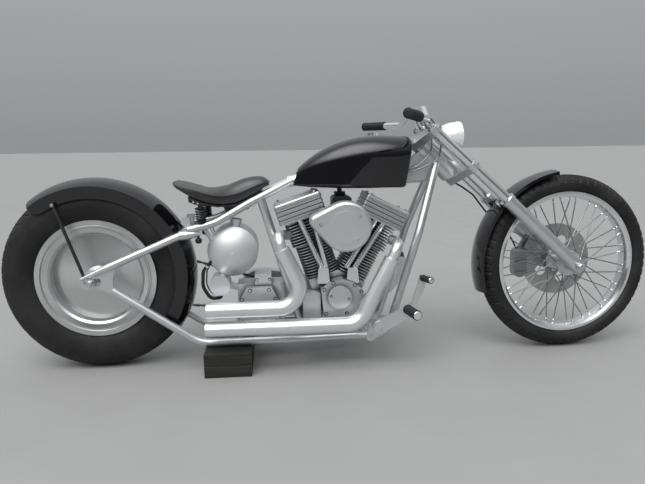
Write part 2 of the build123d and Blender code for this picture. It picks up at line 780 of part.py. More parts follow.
def seat_pan():
    """A steel pan under the cushion with a drilled bracket each side and the hinge under its nose."""
    under = [(614, 659.4)] + SADDLE_UNDER[1:-1]
    upper = [(x, z - PAN_GAP) for x, z in under]
    lower = [(x, z - PAN_GAP - PAN_THICK) for x, z in reversed(under)]
    body = side_plate(side_polygon(upper + lower), -112, 112)
    plan = make_face([
        Polyline((350, -110), (350, 110), (430, 98), (540, 48), (615, 24)),
        Polyline((615, 24), (615, -24), (540, -48), (430, -98), (350, -110)),
    ])
    pan = body & (Pos(0, 0, 560) * extrude(plan, 160))
    bracket = side_polygon([(354, 644), (355, 628), (380, 617), (404, 609), (410, 618)])
    for x, z in ((371, 628), (386, 622)):
        bracket -= Pos(x, z) * Circle(3.5)
    for side in (-1, 1):
        pan += side_plate(bracket, side * 106 - 2, side * 106 + 2)
    x, z = SADDLE_HINGE
    hinge = side_polygon([
        (462, 608), (513, 608), (550, 619), (x + 16, 625), (x + 16, z - 10), (x - 10, z - 16), (486, 566),
    ])
    hinge = side_plate(hinge, -16, 16)
    return pan + hinge - rod((x, -20, z), (x, 20, z), HINGE_BAR_R + SEAT_GAP)


SPRING = (394, 95, 555)
SPRING_TOP = 606
SPRING_TURNS = 4
SPRING_R = 20
SPRING_CUP = 4


def seat_springs(rails, pan):
    """Two springs that stand on the upper rails and carry the rear of the pan on a stud each."""
    x, y, z = SPRING
    height = SPRING_TOP - z
    pitch = (height - 2 * SPRING_CUP) / SPRING_TURNS
    core = SPRING_R - 7
    profile = [(0, 0), (SPRING_R - 3, 0), (SPRING_R - 3, SPRING_CUP)]
    for turn in range(SPRING_TURNS):
        base = SPRING_CUP + turn * pitch
        profile += [(core, base + pitch * 0.2), (SPRING_R, base + pitch * 0.4)]
        profile += [(SPRING_R, base + pitch * 0.6), (core, base + pitch * 0.8)]
    profile += [(SPRING_R - 3, height - SPRING_CUP), (SPRING_R - 3, height), (0, height)]
    spring = revolve(make_face(Polyline(*profile, close=True)), Axis.Y).rotate(Axis.X, 90)
    spring = Pos(x, -y, z) * spring
    spring += rod((x, -y, z), (x, -y, z - 30), 8)
    spring += rod((x, -y, SPRING_TOP - 1), (x, -y, SPRING_TOP + 20), 7)
    spring = spring - rails[0] - pan
    return both_sides(spring.solids().sort_by(SortBy.VOLUME)[-1])


# Foot x, lean of the section in degrees, half width, foot z, height, top corner radius, bottom corner radius
TANK_SECTIONS = [
    (728, 20, 30, 674, 66, 24, 8),
    (800, 14, 66, 668, 134, 52, 12),
    (900, 12, 98, 665, 180, 74, 16),
    (1010, 11, 110, 664, 194, 80, 16),
    (1090, 11, 106, 664, 191, 76, 16),
    (1143, 9, 96, 662, 188, 68, 14),
]
TANK_FRONT_ROUND = 17


def fuel_tank():
    faces = []
    for x, lean, half, foot, height, top_r, bottom_r in TANK_SECTIONS:
        face = Pos(0, height / 2) * Rectangle(2 * half, height)
        face = fillet(face.vertices().sort_by(Axis.Y)[2:], top_r)
        face = fillet(face.vertices().sort_by(Axis.Y)[:2], bottom_r)
        across = Vector(cos(radians(lean)), 0, -sin(radians(lean)))
        faces.append(Plane(origin=(x, 0, foot), x_dir=(0, 1, 0), z_dir=across) * face)
    tank = loft(faces)
    tank = fillet(tank.faces().filter_by(GeomType.PLANE).sort_by(Axis.X)[-1].edges(), TANK_FRONT_ROUND)
    half = BACKBONE_R + TUNNEL_GAP
    over = half / cos(atan2(BACKBONE_TOP.Z - BACKBONE_REAR.Z, BACKBONE_TOP.X - BACKBONE_REAR.X))
    roof = [(x, backbone_z(x) + over) for x in (690, 1200)]
    tunnel = side_plate(side_polygon([(690, 600)] + roof + [(1200, 600)]), -half, half)
    return tank - tunnel


def fuel_cap(tank):
    """A flush filler cap on the left of the tank's crown."""
    return rod((1040, 44, 826), (1040, 48, 861), 26) - tank


# Engine

def cylinder_plane(angle, distance):
    """A plane across one cylinder at a distance from the crankshaft; X ahead, Y left."""
    tilt = radians(angle)
    up = Vector(-sin(tilt), 0, cos(tilt))
    ahead = Vector(cos(tilt), 0, sin(tilt))
    return Plane(origin=Vector(CRANK[0], 0, CRANK[1]) + up * distance, x_dir=ahead, z_dir=up)


def crankcase():
    case = side_plate(Pos(*CRANK) * Circle(CASE_R), -CASE_HALF, CASE_HALF)
    for angle in CYLINDER_ANGLES:
        case += cylinder_plane(angle, 0) * extrude(Rectangle(118, 116), CYLINDER_BASE - SEAT_GAP)
    foot = RAIL_Z + CROSS_R + SEAT_GAP
    case += Pos(772, 0, (foot + 220) / 2) * Box(60, 70, 220 - foot)
    case += Pos(985, 0, (foot + 200) / 2) * Box(50, 70, 200 - foot)
    case += side_plate(Pos(*CRANK) * Circle(74), CASE_HALF, 98 - SEAT_GAP)
    case += Pos(788, -78, 228) * Box(66, 54, 102)
    for x in (834, 856, 878, 900):
        case += Pos(x, -CASE_HALF - 3, 158) * Box(5, 8, 52)
    return case


def cam_cover():
    outline = side_polygon(
        [(822, 296), (862, 322), (905, 330), (949, 314), (984, 281), (962, 232), (925, 190), (832, 190)], 12
    )
    cover = side_plate(outline, -116, -CASE_HALF - 8 - SEAT_GAP)
    cover += side_plate(Pos(*TIMING_CENTRE) * Circle(TIMING_R), -132, -116)
    return cover


def cylinders():
    """Finned barrels with their heads; the lowest fins are cut away where the two would meet."""
    made = []
    middle = cylinder_plane(sum(CYLINDER_ANGLES) / 2, 0)
    for side, angle in zip((-1, 1), CYLINDER_ANGLES):
        height = HEAD_TOP - CYLINDER_BASE - SEAT_GAP
        barrel = cylinder_plane(angle, CYLINDER_BASE) * extrude(Circle(BARREL_R), height)
        length = HEAD_BASE - CYLINDER_BASE
        for step in range(int(length / FIN_PITCH)):
            at = CYLINDER_BASE + 6 + step * FIN_PITCH
            fin = fillet(Rectangle(*BARREL_FIN).vertices(), 40)
            barrel += cylinder_plane(angle, at) * extrude(fin, FIN_THICK)
        for step in range(int((HEAD_TOP - HEAD_BASE) / FIN_PITCH)):
            at = HEAD_BASE + 3 + step * FIN_PITCH
            fin = fillet(Rectangle(*HEAD_FIN).vertices(), 26)
            barrel += cylinder_plane(angle, at) * extrude(fin, FIN_THICK)
        made.append(barrel - middle * Pos(-side * (100 - SEAT_GAP), 0, 200) * Box(200, 200, 200))
    return made


def rocker_boxes():
    made = []
    for angle in CYLINDER_ANGLES:
        height = ROCKER_TOP - HEAD_TOP
        block = extrude(Rectangle(*ROCKER_BOX), height)
        block = fillet(block.edges().filter_by(Axis.Z), 10)
        block = fillet(block.faces().sort_by(Axis.Z)[-1].edges(), 6)
        for level in (18, 34, 50):
            groove = Rectangle(ROCKER_BOX[0] + 10, ROCKER_BOX[1] + 10) - fillet(
                Rectangle(ROCKER_BOX[0] - 8, ROCKER_BOX[1] - 8).vertices(), 7
            )
            block -= Pos(0, 0, level) * extrude(groove, 4)
        made.append(cylinder_plane(angle, HEAD_TOP) * Pos(0, ROCKER_SHIFT, 0) * block)
    return made


# Cylinder number, foot of the tube and a point it aims at, as (x, z)
PUSHRODS = [
    (0, (825, 378), (752, 545)),
    (0, (841, 386), (812, 500)),
    (1, (925, 375), (966, 440)),
    (1, (960, 378), (1050, 516)),
]
PUSHROD_Y = -82
TAPPETS = [(833, 344), (943, 342)]


def pushrod_tubes(boxes, cover):
    """Two tubes from each tappet block up to the overhanging underside of a rocker box."""
    blocks = []
    for x, z in TAPPETS:
        casting = side_polygon([(x - 24, z - 32), (x - 18, z + 28), (x + 18, z + 28), (x + 24, z - 32)], 4)
        casting = side_plate(casting, PUSHROD_Y - 20, PUSHROD_Y + 20) - cover
        blocks.append(casting.solids().sort_by(SortBy.VOLUME)[-1])
    for number, foot, aim in PUSHRODS:
        tilt = radians(CYLINDER_ANGLES[number])
        up = (-sin(tilt), cos(tilt))
        along = (aim[0] - foot[0], aim[1] - foot[1])
        risen = (foot[0] - CRANK[0]) * up[0] + (foot[1] - CRANK[1]) * up[1]
        reach = (HEAD_TOP + 12 - risen) / (along[0] * up[0] + along[1] * up[1])
        top = (foot[0] + along[0] * reach, foot[1] + along[1] * reach)
        low = (foot[0] - along[0] * 0.12, foot[1] - along[1] * 0.12)
        tube = rod((low[0], PUSHROD_Y, low[1]), (top[0], PUSHROD_Y, top[1]), 10) - boxes[number]
        blocks[number] += tube.solids().sort_by(SortBy.VOLUME)[-1]
    return blocks


AIR_CLEANER = [(910, 535, 91), (808, 555, 28)]
AIR_FACE_Y = -186
AIR_BACK_Y = -132


def air_cleaner():
    outline = hull_of(AIR_CLEANER)
    cover = side_plate(outline, AIR_FACE_Y, AIR_BACK_Y)
    cover = fillet(cover.faces().sort_by(Axis.Y)[0].edges(), 14)
    x, z, radius = AIR_CLEANER[0]
    cover += side_plate(Pos(x, z) * Circle(radius - 32), AIR_FACE_Y - 3, AIR_FACE_Y + 1)
    back = side_plate(hull_of([(x, z, r - 6) for x, z, r in AIR_CLEANER]), AIR_BACK_Y, AIR_BACK_Y + 8)
    return cover + back


def carburettor(heads):
    start = AIR_BACK_Y + 8 + SEAT_GAP
    body = rod((905, start, 500), (905, -20, 500), 27)
    body += Pos(905, -78, 470) * Box(60, 60, 50)
    for x, z in ((838, 488), (968, 478)):
        body += rod((905, -30, 500), (x, -10, z), 19)
    body = body - heads[0] - heads[1]
    return body.solids().sort_by(SortBy.VOLUME)[-1]


def ignition_coil(neck):
    """A coil that hangs from the backbone between the rocker boxes, above the carburettor."""
    x = 906
    coil = Pos(x, -42, 592) * Box(72, 76, 84)
    coil = fillet(coil.edges().filter_by(Axis.Y), 12)
    for ahead in (-20, 20):
        coil += rod((x + ahead, -76, 616), (x + ahead, -92, 616), 12)
    coil += Pos(x, -2, 634) * Box(40, 36, 24)
    coil += rod((x, 0, 640), (x, 0, backbone_z(x)), 9)
    coil = coil - neck
    return coil.solids().sort_by(SortBy.VOLUME)[-1]


# Port stub points as (x, y, z), then the point where the thick pipe starts, then its corners
EXHAUST = [
    ([(706, -52, 492), (684, -75, 494), (666, PIPE_Y, 508)], [(679, 462), (781, 250), (409, 250)]),
    ([(1096, -50, 463), (1116, -74, 457), (1094, PIPE_Y, 466)], [(1072, 418), (954, 180), (403, 180)]),
]


def exhaust_pipes(heads):
    """A thin neck out of each port turns down into a thick straight-cut pipe, open at its rear end."""
    made = []
    for head, (stub, run) in zip(heads, EXHAUST):
        thick = pipe([(x, PIPE_Y, z) for x, z in run], 75, PIPE_R, PIPE_WALL)
        start = Vector(run[0][0], PIPE_Y, run[0][1])
        ahead = (Vector(run[1][0], PIPE_Y, run[1][1]) - start).normalized()
        collar = rod(start, start + ahead * 10, PIPE_R - 0.5)
        neck = pipe(stub + [tuple(start + ahead * 5)], [22, 28], NECK_PIPE_R)
        whole = thick + collar + neck - head
        made.append(whole.solids().sort_by(SortBy.VOLUME)[-1])
    return made


def transmission():
    case = Pos(600, 0, 216) * Box(176, 92, 182)
    case += Pos(608, -10, 322) * Box(62, 80, 44)
    cover = side_polygon([(547, 299), (641, 299), (664, 246), (664, 160), (517, 160), (517, 246)], 6)
    case += side_plate(cover, -84, -46)
    foot = RAIL_Z + CROSS_R + SEAT_GAP
    case += Pos(520, 0, (foot + 160) / 2) * Box(40, 80, 160 - foot)
    tip = CHAIN_PITCH_R_FRONT - CHAIN_DEPTH - SPROCKET_GAP
    case += side_plate(Pos(*GEARBOX_SHAFT) * Circle(20), 46, CHAIN_Y + SPROCKET_HALF)
    case += side_plate(Pos(*GEARBOX_SHAFT) * Circle(tip), CHAIN_Y - SPROCKET_HALF, CHAIN_Y + SPROCKET_HALF)
    return case


def primary_cover():
    outline = hull_of([(*CRANK, 79), (*GEARBOX_SHAFT, 98)])
    cover = side_plate(outline, 98, 158)
    cover = fillet(cover.faces().sort_by(Axis.Y)[-1].edges(), 12)
    clutch = side_plate(Pos(*GEARBOX_SHAFT) * Circle(66), 156, 166)
    cover += fillet(clutch.faces().sort_by(Axis.Y)[-1].edges(), 5)
    hatch = side_plate(Pos(766, 214) * Rot(0, 0, -5) * SlotOverall(96, 44), 156, 162)
    return cover + hatch


def chain_belt(offset):
    """The outline of the chain's pitch line, or of a line inside or outside it."""
    rear = (0, REAR_TYRE_R, CHAIN_PITCH_R_REAR + offset)
    return hull_of([rear, (*GEARBOX_SHAFT, CHAIN_PITCH_R_FRONT + offset)])


def drive_chain():
    """A band of rollers and inner plates with an outer link over every second pair."""
    band = chain_belt(CHAIN_DEPTH - 1) - chain_belt(1 - CHAIN_DEPTH)
    chain = side_plate(band, CHAIN_Y - CHAIN_HALF + 1.5, CHAIN_Y + CHAIN_HALF - 1.5)
    line = chain_belt(0).wire()
    pitch = line.length / CHAIN_LINKS
    reach = pitch * 0.8
    shoulder = pitch * 0.55
    link = make_face(ring([
        (-reach, 0), (-shoulder, CHAIN_DEPTH), (shoulder, CHAIN_DEPTH),
        (reach, 0), (shoulder, -CHAIN_DEPTH), (-shoulder, -CHAIN_DEPTH),
    ]))
    links = []
    for step in range(0, CHAIN_LINKS, 2):
        spot = line.position_at(step / CHAIN_LINKS)
        heading = line.tangent_at(step / CHAIN_LINKS)
        turned_link = Pos(spot.X, spot.Y) * Rot(0, 0, degrees(atan2(heading.Y, heading.X))) * link
        links.append(side_plate(turned_link, CHAIN_Y - CHAIN_HALF, CHAIN_Y + CHAIN_HALF))
    return chain + links


OIL_TANK = (500, 437)
OIL_TANK_R = 93
OIL_TANK_HALF = 62
OIL_TANK_BULGE = 34


def oil_tank(rails):
    """A round tank with a filler neck, hung from the upper rails by a stay each side."""
    half = OIL_TANK_HALF
    pole = half + OIL_TANK_BULGE
    cap_r = (OIL_TANK_R ** 2 + OIL_TANK_BULGE ** 2) / (2 * OIL_TANK_BULGE)
    halfway = asin(OIL_TANK_R / cap_r) / 2
    mid_r = cap_r * sin(halfway)
    mid_y = pole - cap_r * (1 - cos(halfway))
    outline = [
        Line((0, -pole), (0, pole)),
        ThreePointArc((0, pole), (mid_r, mid_y), (OIL_TANK_R, half)),
        Line((OIL_TANK_R, half), (OIL_TANK_R, -half)),
        ThreePointArc((OIL_TANK_R, -half), (mid_r, -mid_y), (0, -pole)),
    ]
    tank = turned(outline, (OIL_TANK[0], 0, OIL_TANK[1]))
    tank += rod((508, -42, 515), (513, -42, 538), 16)
    tank += rod((513, -42, 538), (516, -42, 557), 21)
    for side, rail in zip((-1, 1), rails):
        stay = rod((398, side * 86, 534), (426, side * 58, 478), 7) - rail
        tank += stay.solids().sort_by(SortBy.VOLUME)[-1]
    return tank


FILTER = (450, 316)
FILTER_R = 37.5


def oil_filter():
    """A round can on a bracket from the gearbox."""
    x, z = FILTER
    can = rod((x, -100, z), (x, -14, z), FILTER_R)
    end = 512 - SEAT_GAP
    arm = side_polygon([(x, z - 20), (x, z + 10), (end, z - 16), (end, z - 40)])
    return can + side_plate(arm, -24, -14)


# Distance right of the middle, distance inside the outer hose, and radius
OIL_LINES = [(62, 0, 6.5), (46, 12, 2.5)]


def oil_lines(tank, can):
    """A hose and a thin line that leave the oil tank low at the back and go round to the can's underside."""
    made = []
    for y, inset, radius in OIL_LINES:
        points = [
            (426 + inset, -y, 408), (388 + inset, -y, 366), (384 + inset, -y, 304),
            (412 + inset * 0.8, -y, 258 + inset * 0.8), (FILTER[0], -y, 262 + inset * 0.8),
            (FILTER[0], -y, FILTER[1] - FILTER_R + 4),
        ]
        hose = pipe(points, [40, 60, 26, 8], radius) - tank - can
        made.append(hose.solids().sort_by(SortBy.VOLUME)[-1])
    return made


def foot_controls():
    """Forward controls: a bracket on the front corner, the peg arm and the pedal arm."""
    pivot = (1031, 163)
    arm = hull_of([(*pivot, 27), (1134, 212, 19)])
    right = side_plate(arm, -182, -168)
    right += side_plate(Pos(*pivot) * Circle(22), -196, -182)
    tube_side = -DOWN_TUBE_Y - RAIL_R - SEAT_GAP
    bracket = hull_of([(*pivot, 26), (1008, RAIL_Z, 16), (1090, 168, 16)])
    right += side_plate(bracket, tube_side - 8, tube_side)
    right += rod((pivot[0], tube_side - 4, pivot[1]), (pivot[0], -170, pivot[1]), 16)
    pedal = side_polygon([
        (1022, 150), (1022, 178), (1128, 228), (1152, 244), (1174, 314), (1182, 350), (1206, 346),
        (1200, 302), (1172, 231), (1150, 206),
    ], 5)
    right += side_plate(pedal, -166, -158)
    return both_sides(right)


def foot_pegs(controls):
    """Rubber pegs on the arms, one for the sole and one for the toe on each side."""
    peg = rod((1133, -182 - SEAT_GAP, 226), (1146, -276, 231), 18)
    toe = rod((1192, -168.3, 338), (1202, -238, 346), 12.5)
    return both_sides(peg - controls[0]) + both_sides(toe)


def stand_block():
    low, high = BLOCK_X
    return Pos((low + high) / 2, 0, BLOCK_TOP / 2) * Box(high - low, 2 * BLOCK_HALF, BLOCK_TOP)


if __name__ == "__main__":
    save("rear_tyre", rear_tyre())
    save("rear_rim", rear_rim())
    save("rear_disc", rear_disc())
    save("rear_hub", rear_hub())
    save("rear_sprocket", rear_sprocket())

    save_steered("front_tyre", front_tyre())
    save_steered("front_rim", front_rim())
    save_steered("front_hub", front_hub())
    save_steered("front_spokes", front_spokes())
    save_steered("front_rotor", front_rotor())

    sliders = fork_sliders()
    save_steered("fork_sliders", sliders)
    save_steered("fork_tubes", fork_tubes())
    trees = triple_trees()
    save_steered("triple_trees", trees)
    save_steered("handlebar", handlebar(trees))
    save_steered("grips", grips())
    save_steered("headlight", headlight(trees))
    save_steered("headlight_lens", headlight_lens())
    save_steered("front_fender", front_fender())
    save_steered("front_axle", front_axle())
    caliper = brake_caliper(sliders)
    save_steered("brake_caliper", caliper)
    save_steered("brake_hose", brake_hose(trees, caliper))

    neck = steering_neck()
    upper_rails = frame_upper_rails(neck)
    plates = axle_plates()
    lower_rails = frame_lower_rails(plates)
    save("steering_neck", neck)
    save("frame_down_tubes", frame_down_tubes(neck))
    save("frame_lower_rails", lower_rails)
    save("frame_upper_rails", upper_rails)
    save("frame_seat_tubes", frame_seat_tubes(upper_rails))
    save("frame_cross_tubes", frame_cross_tubes(lower_rails, upper_rails))
    save("axle_plates", plates)
    save("rear_axle", rear_axle())
    save("rear_fender", rear_fender())
    save("fender_struts", fender_struts(upper_rails, plates))
    save("rear_caliper", rear_caliper())
    save("seat_cushion", seat_cushion())
    pan = seat_pan()
    save("seat_pan", pan)
    save("seat_springs", seat_springs(upper_rails, pan))
    tank = fuel_tank()
    save("fuel_tank", tank)
    save("fuel_cap", fuel_cap(tank))
    save("crankcase", crankcase())
    cover = cam_cover()
    save("cam_cover", cover)
    heads = cylinders()
    save("cylinders", heads)
    boxes = rocker_boxes()
    save("rocker_boxes", boxes)
    save("pushrod_tubes", pushrod_tubes(boxes, cover))
    save("air_cleaner", air_cleaner())
    save("carburettor", carburettor(heads))
    save("ignition_coil", ignition_coil(neck))
    save("exhaust_pipes", exhaust_pipes(heads))
    save("transmission", transmission())
    save("primary_cover", primary_cover())
    save("drive_chain", drive_chain())
    oil = oil_tank(upper_rails)
    save("oil_tank", oil)
    can = oil_filter()
    save("oil_filter", can)
    save("oil_lines", oil_lines(oil, can))
    controls = foot_controls()
    save("foot_controls", controls)
    save("foot_pegs", foot_pegs(controls))
    save("stand_block", stand_block())
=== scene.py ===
import json
import bmesh
import bpy
from math import atan2, cos, pi, radians, sin, sqrt
from mathutils import Matrix, Vector
from mathutils.bvhtree import BVHTree
from mathutils.kdtree import KDTree


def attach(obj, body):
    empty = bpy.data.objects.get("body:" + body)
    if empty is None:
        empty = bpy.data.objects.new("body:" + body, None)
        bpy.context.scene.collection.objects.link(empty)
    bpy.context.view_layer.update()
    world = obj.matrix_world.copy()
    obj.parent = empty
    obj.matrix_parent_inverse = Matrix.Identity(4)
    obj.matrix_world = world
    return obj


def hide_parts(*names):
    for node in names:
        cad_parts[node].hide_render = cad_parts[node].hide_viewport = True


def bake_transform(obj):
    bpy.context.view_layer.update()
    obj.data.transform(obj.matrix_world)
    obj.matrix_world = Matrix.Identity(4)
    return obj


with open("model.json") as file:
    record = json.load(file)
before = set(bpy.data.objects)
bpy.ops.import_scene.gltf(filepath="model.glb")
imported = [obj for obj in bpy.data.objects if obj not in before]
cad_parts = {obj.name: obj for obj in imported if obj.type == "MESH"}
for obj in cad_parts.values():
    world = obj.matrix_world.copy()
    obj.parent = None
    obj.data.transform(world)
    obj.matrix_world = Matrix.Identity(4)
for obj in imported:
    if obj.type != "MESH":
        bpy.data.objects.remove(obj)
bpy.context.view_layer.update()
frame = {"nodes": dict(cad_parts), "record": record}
nodes = frame["nodes"]

# Places and lengths of the object are millimetres: X forward from the rear axle, Y to the rider's left, Z up
# from the floor. at() turns a place into metres in the shared frame. Looks, cloth, the set and the short
# steps added to such a place are metres.
MIDDLE_X = 906
WHEELBASE = 1813
REAR_TYRE_R = 348
FRONT_TYRE_R = 347
REAR_RIM_R = REAR_TYRE_R - 131
FRONT_RIM_R = FRONT_TYRE_R - 66
RAKE = 47.8
REST_STEER = 3.0

# Middles of the wheels, the crank and the clutch as (x, z)
REAR_AXLE = (0, REAR_TYRE_R)
FRONT_AXLE = (WHEELBASE, FRONT_TYRE_R)
CRANK = (881, 203)
CLUTCH = (600, 230)

# The camera, fitted to both wheels, the fork and the frame rails of the photograph
CAMERA_AT = (-0.252, -2.123, 0.841)
CAMERA_YAW = -4.99
CAMERA_PITCH = -10.36
CAMERA_ROLL = -0.68
FOCAL_PIXELS = 561
PHOTO_WIDTH = 645
SENSOR = 36

FORWARD = (1, 0, 0)
LEFT = (0, 1, 0)
RIGHT = (0, -1, 0)
UP = (0, 0, 1)
FORK_UP = Vector((-sin(radians(RAKE)), 0, cos(radians(RAKE))))
FORK_AHEAD = Vector((cos(radians(RAKE)), 0, sin(radians(RAKE))))


def at(x, y, z):
    return Vector(((x - MIDDLE_X) / 1000, y / 1000, z / 1000))


def on_side(place, side):
    """A place given for the left side, on the left (1) or the right (-1)."""
    x, y, z = place
    return at(x, side * y, z)


def on_circle(centre, y, radius, angle):
    """A point of an upright circle round a middle given as (x, z)."""
    return at(centre[0] + radius * cos(angle), y, centre[1] + radius * sin(angle))


def fork_at(along, ahead=0, side=0):
    """A point up the fork leg line from the front axle, ahead of it and to one side, in metres."""
    offset = FORK_UP * along + FORK_AHEAD * ahead + Vector((0, side, 0))
    return at(WHEELBASE, 0, FRONT_TYRE_R) + offset / 1000


# The steering's pieces are placed straight ahead, and STEERED turns them to the rest pose
steering = next(joint for joint in frame["record"]["behaviour"]["joints"] if joint["name"] == "steering")
STEER_POINT = Vector(steering["pos_m"])
STEER_DIRECTION = Vector(steering["axis"])
STEERED = (
    Matrix.Translation(STEER_POINT)
    @ Matrix.Rotation(radians(REST_STEER), 4, STEER_DIRECTION)
    @ Matrix.Translation(-STEER_POINT)
)


# Materials

# The Mix node's colour sockets, by number because several share a name
MIX_A, MIX_B, MIX_RESULT = 6, 7, 2


class Look:
    """A Principled material whose colour, roughness and bump come from procedural nodes."""

    def __init__(self, name):
        self.material = bpy.data.materials.new(name)
        self.material.use_nodes = True
        self.tree = self.material.node_tree
        self.shader = self.tree.nodes["Principled BSDF"]
        self.place = self.tree.nodes.new("ShaderNodeTexCoord").outputs["Object"]
        self.normal = None

    def link(self, source, target):
        self.tree.links.new(source, target)

    def set(self, **values):
        for name, value in values.items():
            self.shader.inputs[name.replace("_", " ")].default_value = value
        return self

    def scaled(self, stretch):
        mapping = self.tree.nodes.new("ShaderNodeMapping")
        mapping.inputs["Scale"].default_value = stretch
        self.link(self.place, mapping.inputs["Vector"])
        return mapping.outputs["Vector"]

    def noise(self, scale, detail=4, stretch=(1, 1, 1)):
        node = self.tree.nodes.new("ShaderNodeTexNoise")
        node.inputs["Scale"].default_value = scale
        node.inputs["Detail"].default_value = detail
        self.link(self.scaled(stretch), node.inputs["Vector"])
        return node.outputs["Fac"]

    def cells(self, scale):
        node = self.tree.nodes.new("ShaderNodeTexVoronoi")
        node.feature = "DISTANCE_TO_EDGE"
        node.inputs["Scale"].default_value = scale
        self.link(self.scaled((1, 1, 1)), node.inputs["Vector"])
        return node.outputs["Distance"]

    def spread(self, source, low, high, start=0.3, end=0.7):
        node = self.tree.nodes.new("ShaderNodeMapRange")
        node.inputs["From Min"].default_value = start
        node.inputs["From Max"].default_value = end
        node.inputs["To Min"].default_value = low
        node.inputs["To Max"].default_value = high
        self.link(source, node.inputs["Value"])
        return node.outputs["Result"]

    def edges(self, start, end):
        """Worn edges, for pieces whose mesh is dense and even."""
        node = self.tree.nodes.new("ShaderNodeNewGeometry")
        return self.spread(node.outputs["Pointiness"], 0, 1, start, end)

    def gaps(self, distance):
        """Ambient occlusion, used for painted shade: 0 deep in a gap or corner, 1 in the open."""
        node = self.tree.nodes.new("ShaderNodeAmbientOcclusion")
        node.samples = 16
        node.inputs["Distance"].default_value = distance
        return self.spread(node.outputs["AO"], 0, 1, 0.35, 0.95)

    def mix(self, factor, first, second):
        node = self.tree.nodes.new("ShaderNodeMix")
        node.data_type = "RGBA"
        self.link(factor, node.inputs["Factor"])
        for value, socket in ((first, node.inputs[MIX_A]), (second, node.inputs[MIX_B])):
            if isinstance(value, tuple):
                socket.default_value = (*value, 1)
            else:
                self.link(value, socket)
        return node.outputs[MIX_RESULT]

    def colour(self, source):
        self.link(source, self.shader.inputs["Base Color"])

    def rough(self, source, low, high):
        self.link(self.spread(source, low, high), self.shader.inputs["Roughness"])

    def bump(self, source, strength, distance):
        node = self.tree.nodes.new("ShaderNodeBump")
        node.inputs["Strength"].default_value = strength
        node.inputs["Distance"].default_value = distance
        self.link(source, node.inputs["Height"])
        if self.normal:
            self.link(self.normal, node.inputs["Normal"])
        self.normal = node.outputs["Normal"]
        self.link(self.normal, self.shader.inputs["Normal"])

    def round_brushed(self, amount):
        """Brushed in rings about the piece's own Y axis."""
        tangent = self.tree.nodes.new("ShaderNodeTangent")
        tangent.direction_type = "RADIAL"
        tangent.axis = "Y"
        self.link(tangent.outputs["Tangent"], self.shader.inputs["Tangent"])
        self.shader.inputs["Anisotropic"].default_value = amount


def metal(name, light, dark, low, high, grain, depth, metallic=0.95, gap_shade=None):
    """A metal with a fine grain and a slow change of tone. The last argument is how much light a casting's
    gaps keep, for shade painted into its gaps and corners.
    """
    look = Look(name)
    look.set(Metallic=metallic)
    tone = look.mix(look.spread(look.noise(7), 0, 1), dark, light)
    if gap_shade is not None:
        # Painted shade: gaps and corners turn towards a fraction of the dark tone, where shade falls.
        gap = tuple(c * gap_shade for c in dark)
        tone = look.mix(look.gaps(0.025), gap, tone)
    look.colour(tone)
    look.rough(look.noise(26, 6), low, high)
    look.bump(look.noise(grain, 3), 0.2, depth)
    return look


# Each metal: its lighter and darker tone, lowest and highest roughness, grain and the grain's depth. Then
# come how metallic it is and how much light its gaps keep under painted shade, where they aren't the usual.
METALS = {
    "frame_metal": ((0.64, 0.65, 0.66), (0.58, 0.59, 0.61), 0.34, 0.4, 900, 0.0001, 0.88),
    "steel": ((0.64, 0.64, 0.64), (0.54, 0.54, 0.55), 0.24, 0.34, 500, 0.0001),
    "polished": ((0.8, 0.81, 0.82), (0.72, 0.73, 0.75), 0.1, 0.18, 300, 0.00005),
    "cast_aluminium": ((0.62, 0.63, 0.64), (0.52, 0.53, 0.54), 0.36, 0.46, 1100, 0.0003, 0.88, 0.12),
    "brushed_aluminium": ((0.68, 0.69, 0.7), (0.62, 0.63, 0.65), 0.34, 0.4, 1400, 0.0001, 0.88),
    "finned_aluminium": ((0.7, 0.71, 0.72), (0.58, 0.59, 0.6), 0.32, 0.42, 700, 0.0003, 0.9, 0.04),
    "spun_aluminium": ((0.6, 0.61, 0.61), (0.54, 0.55, 0.55), 0.28, 0.34, 900, 0.00006),
    "satin_aluminium": ((0.7, 0.71, 0.72), (0.64, 0.65, 0.67), 0.46, 0.52, 1400, 0.0001, 0.85),
    "exhaust": ((0.8, 0.81, 0.82), (0.75, 0.76, 0.77), 0.36, 0.41, 900, 0.00005, 0.9),
    "chain_steel": ((0.2, 0.2, 0.2), (0.07, 0.065, 0.06), 0.3, 0.5, 500, 0.0003),
    "dark_steel": ((0.34, 0.34, 0.35), (0.22, 0.22, 0.23), 0.24, 0.36, 500, 0.0001),
    "pale_silver": ((0.84, 0.86, 0.87), (0.8, 0.82, 0.84), 0.24, 0.32, 500, 0.00006, 0.3),
    "rotor_steel": ((0.52, 0.52, 0.52), (0.42, 0.42, 0.42), 0.26, 0.38, 400, 0.0001),
}


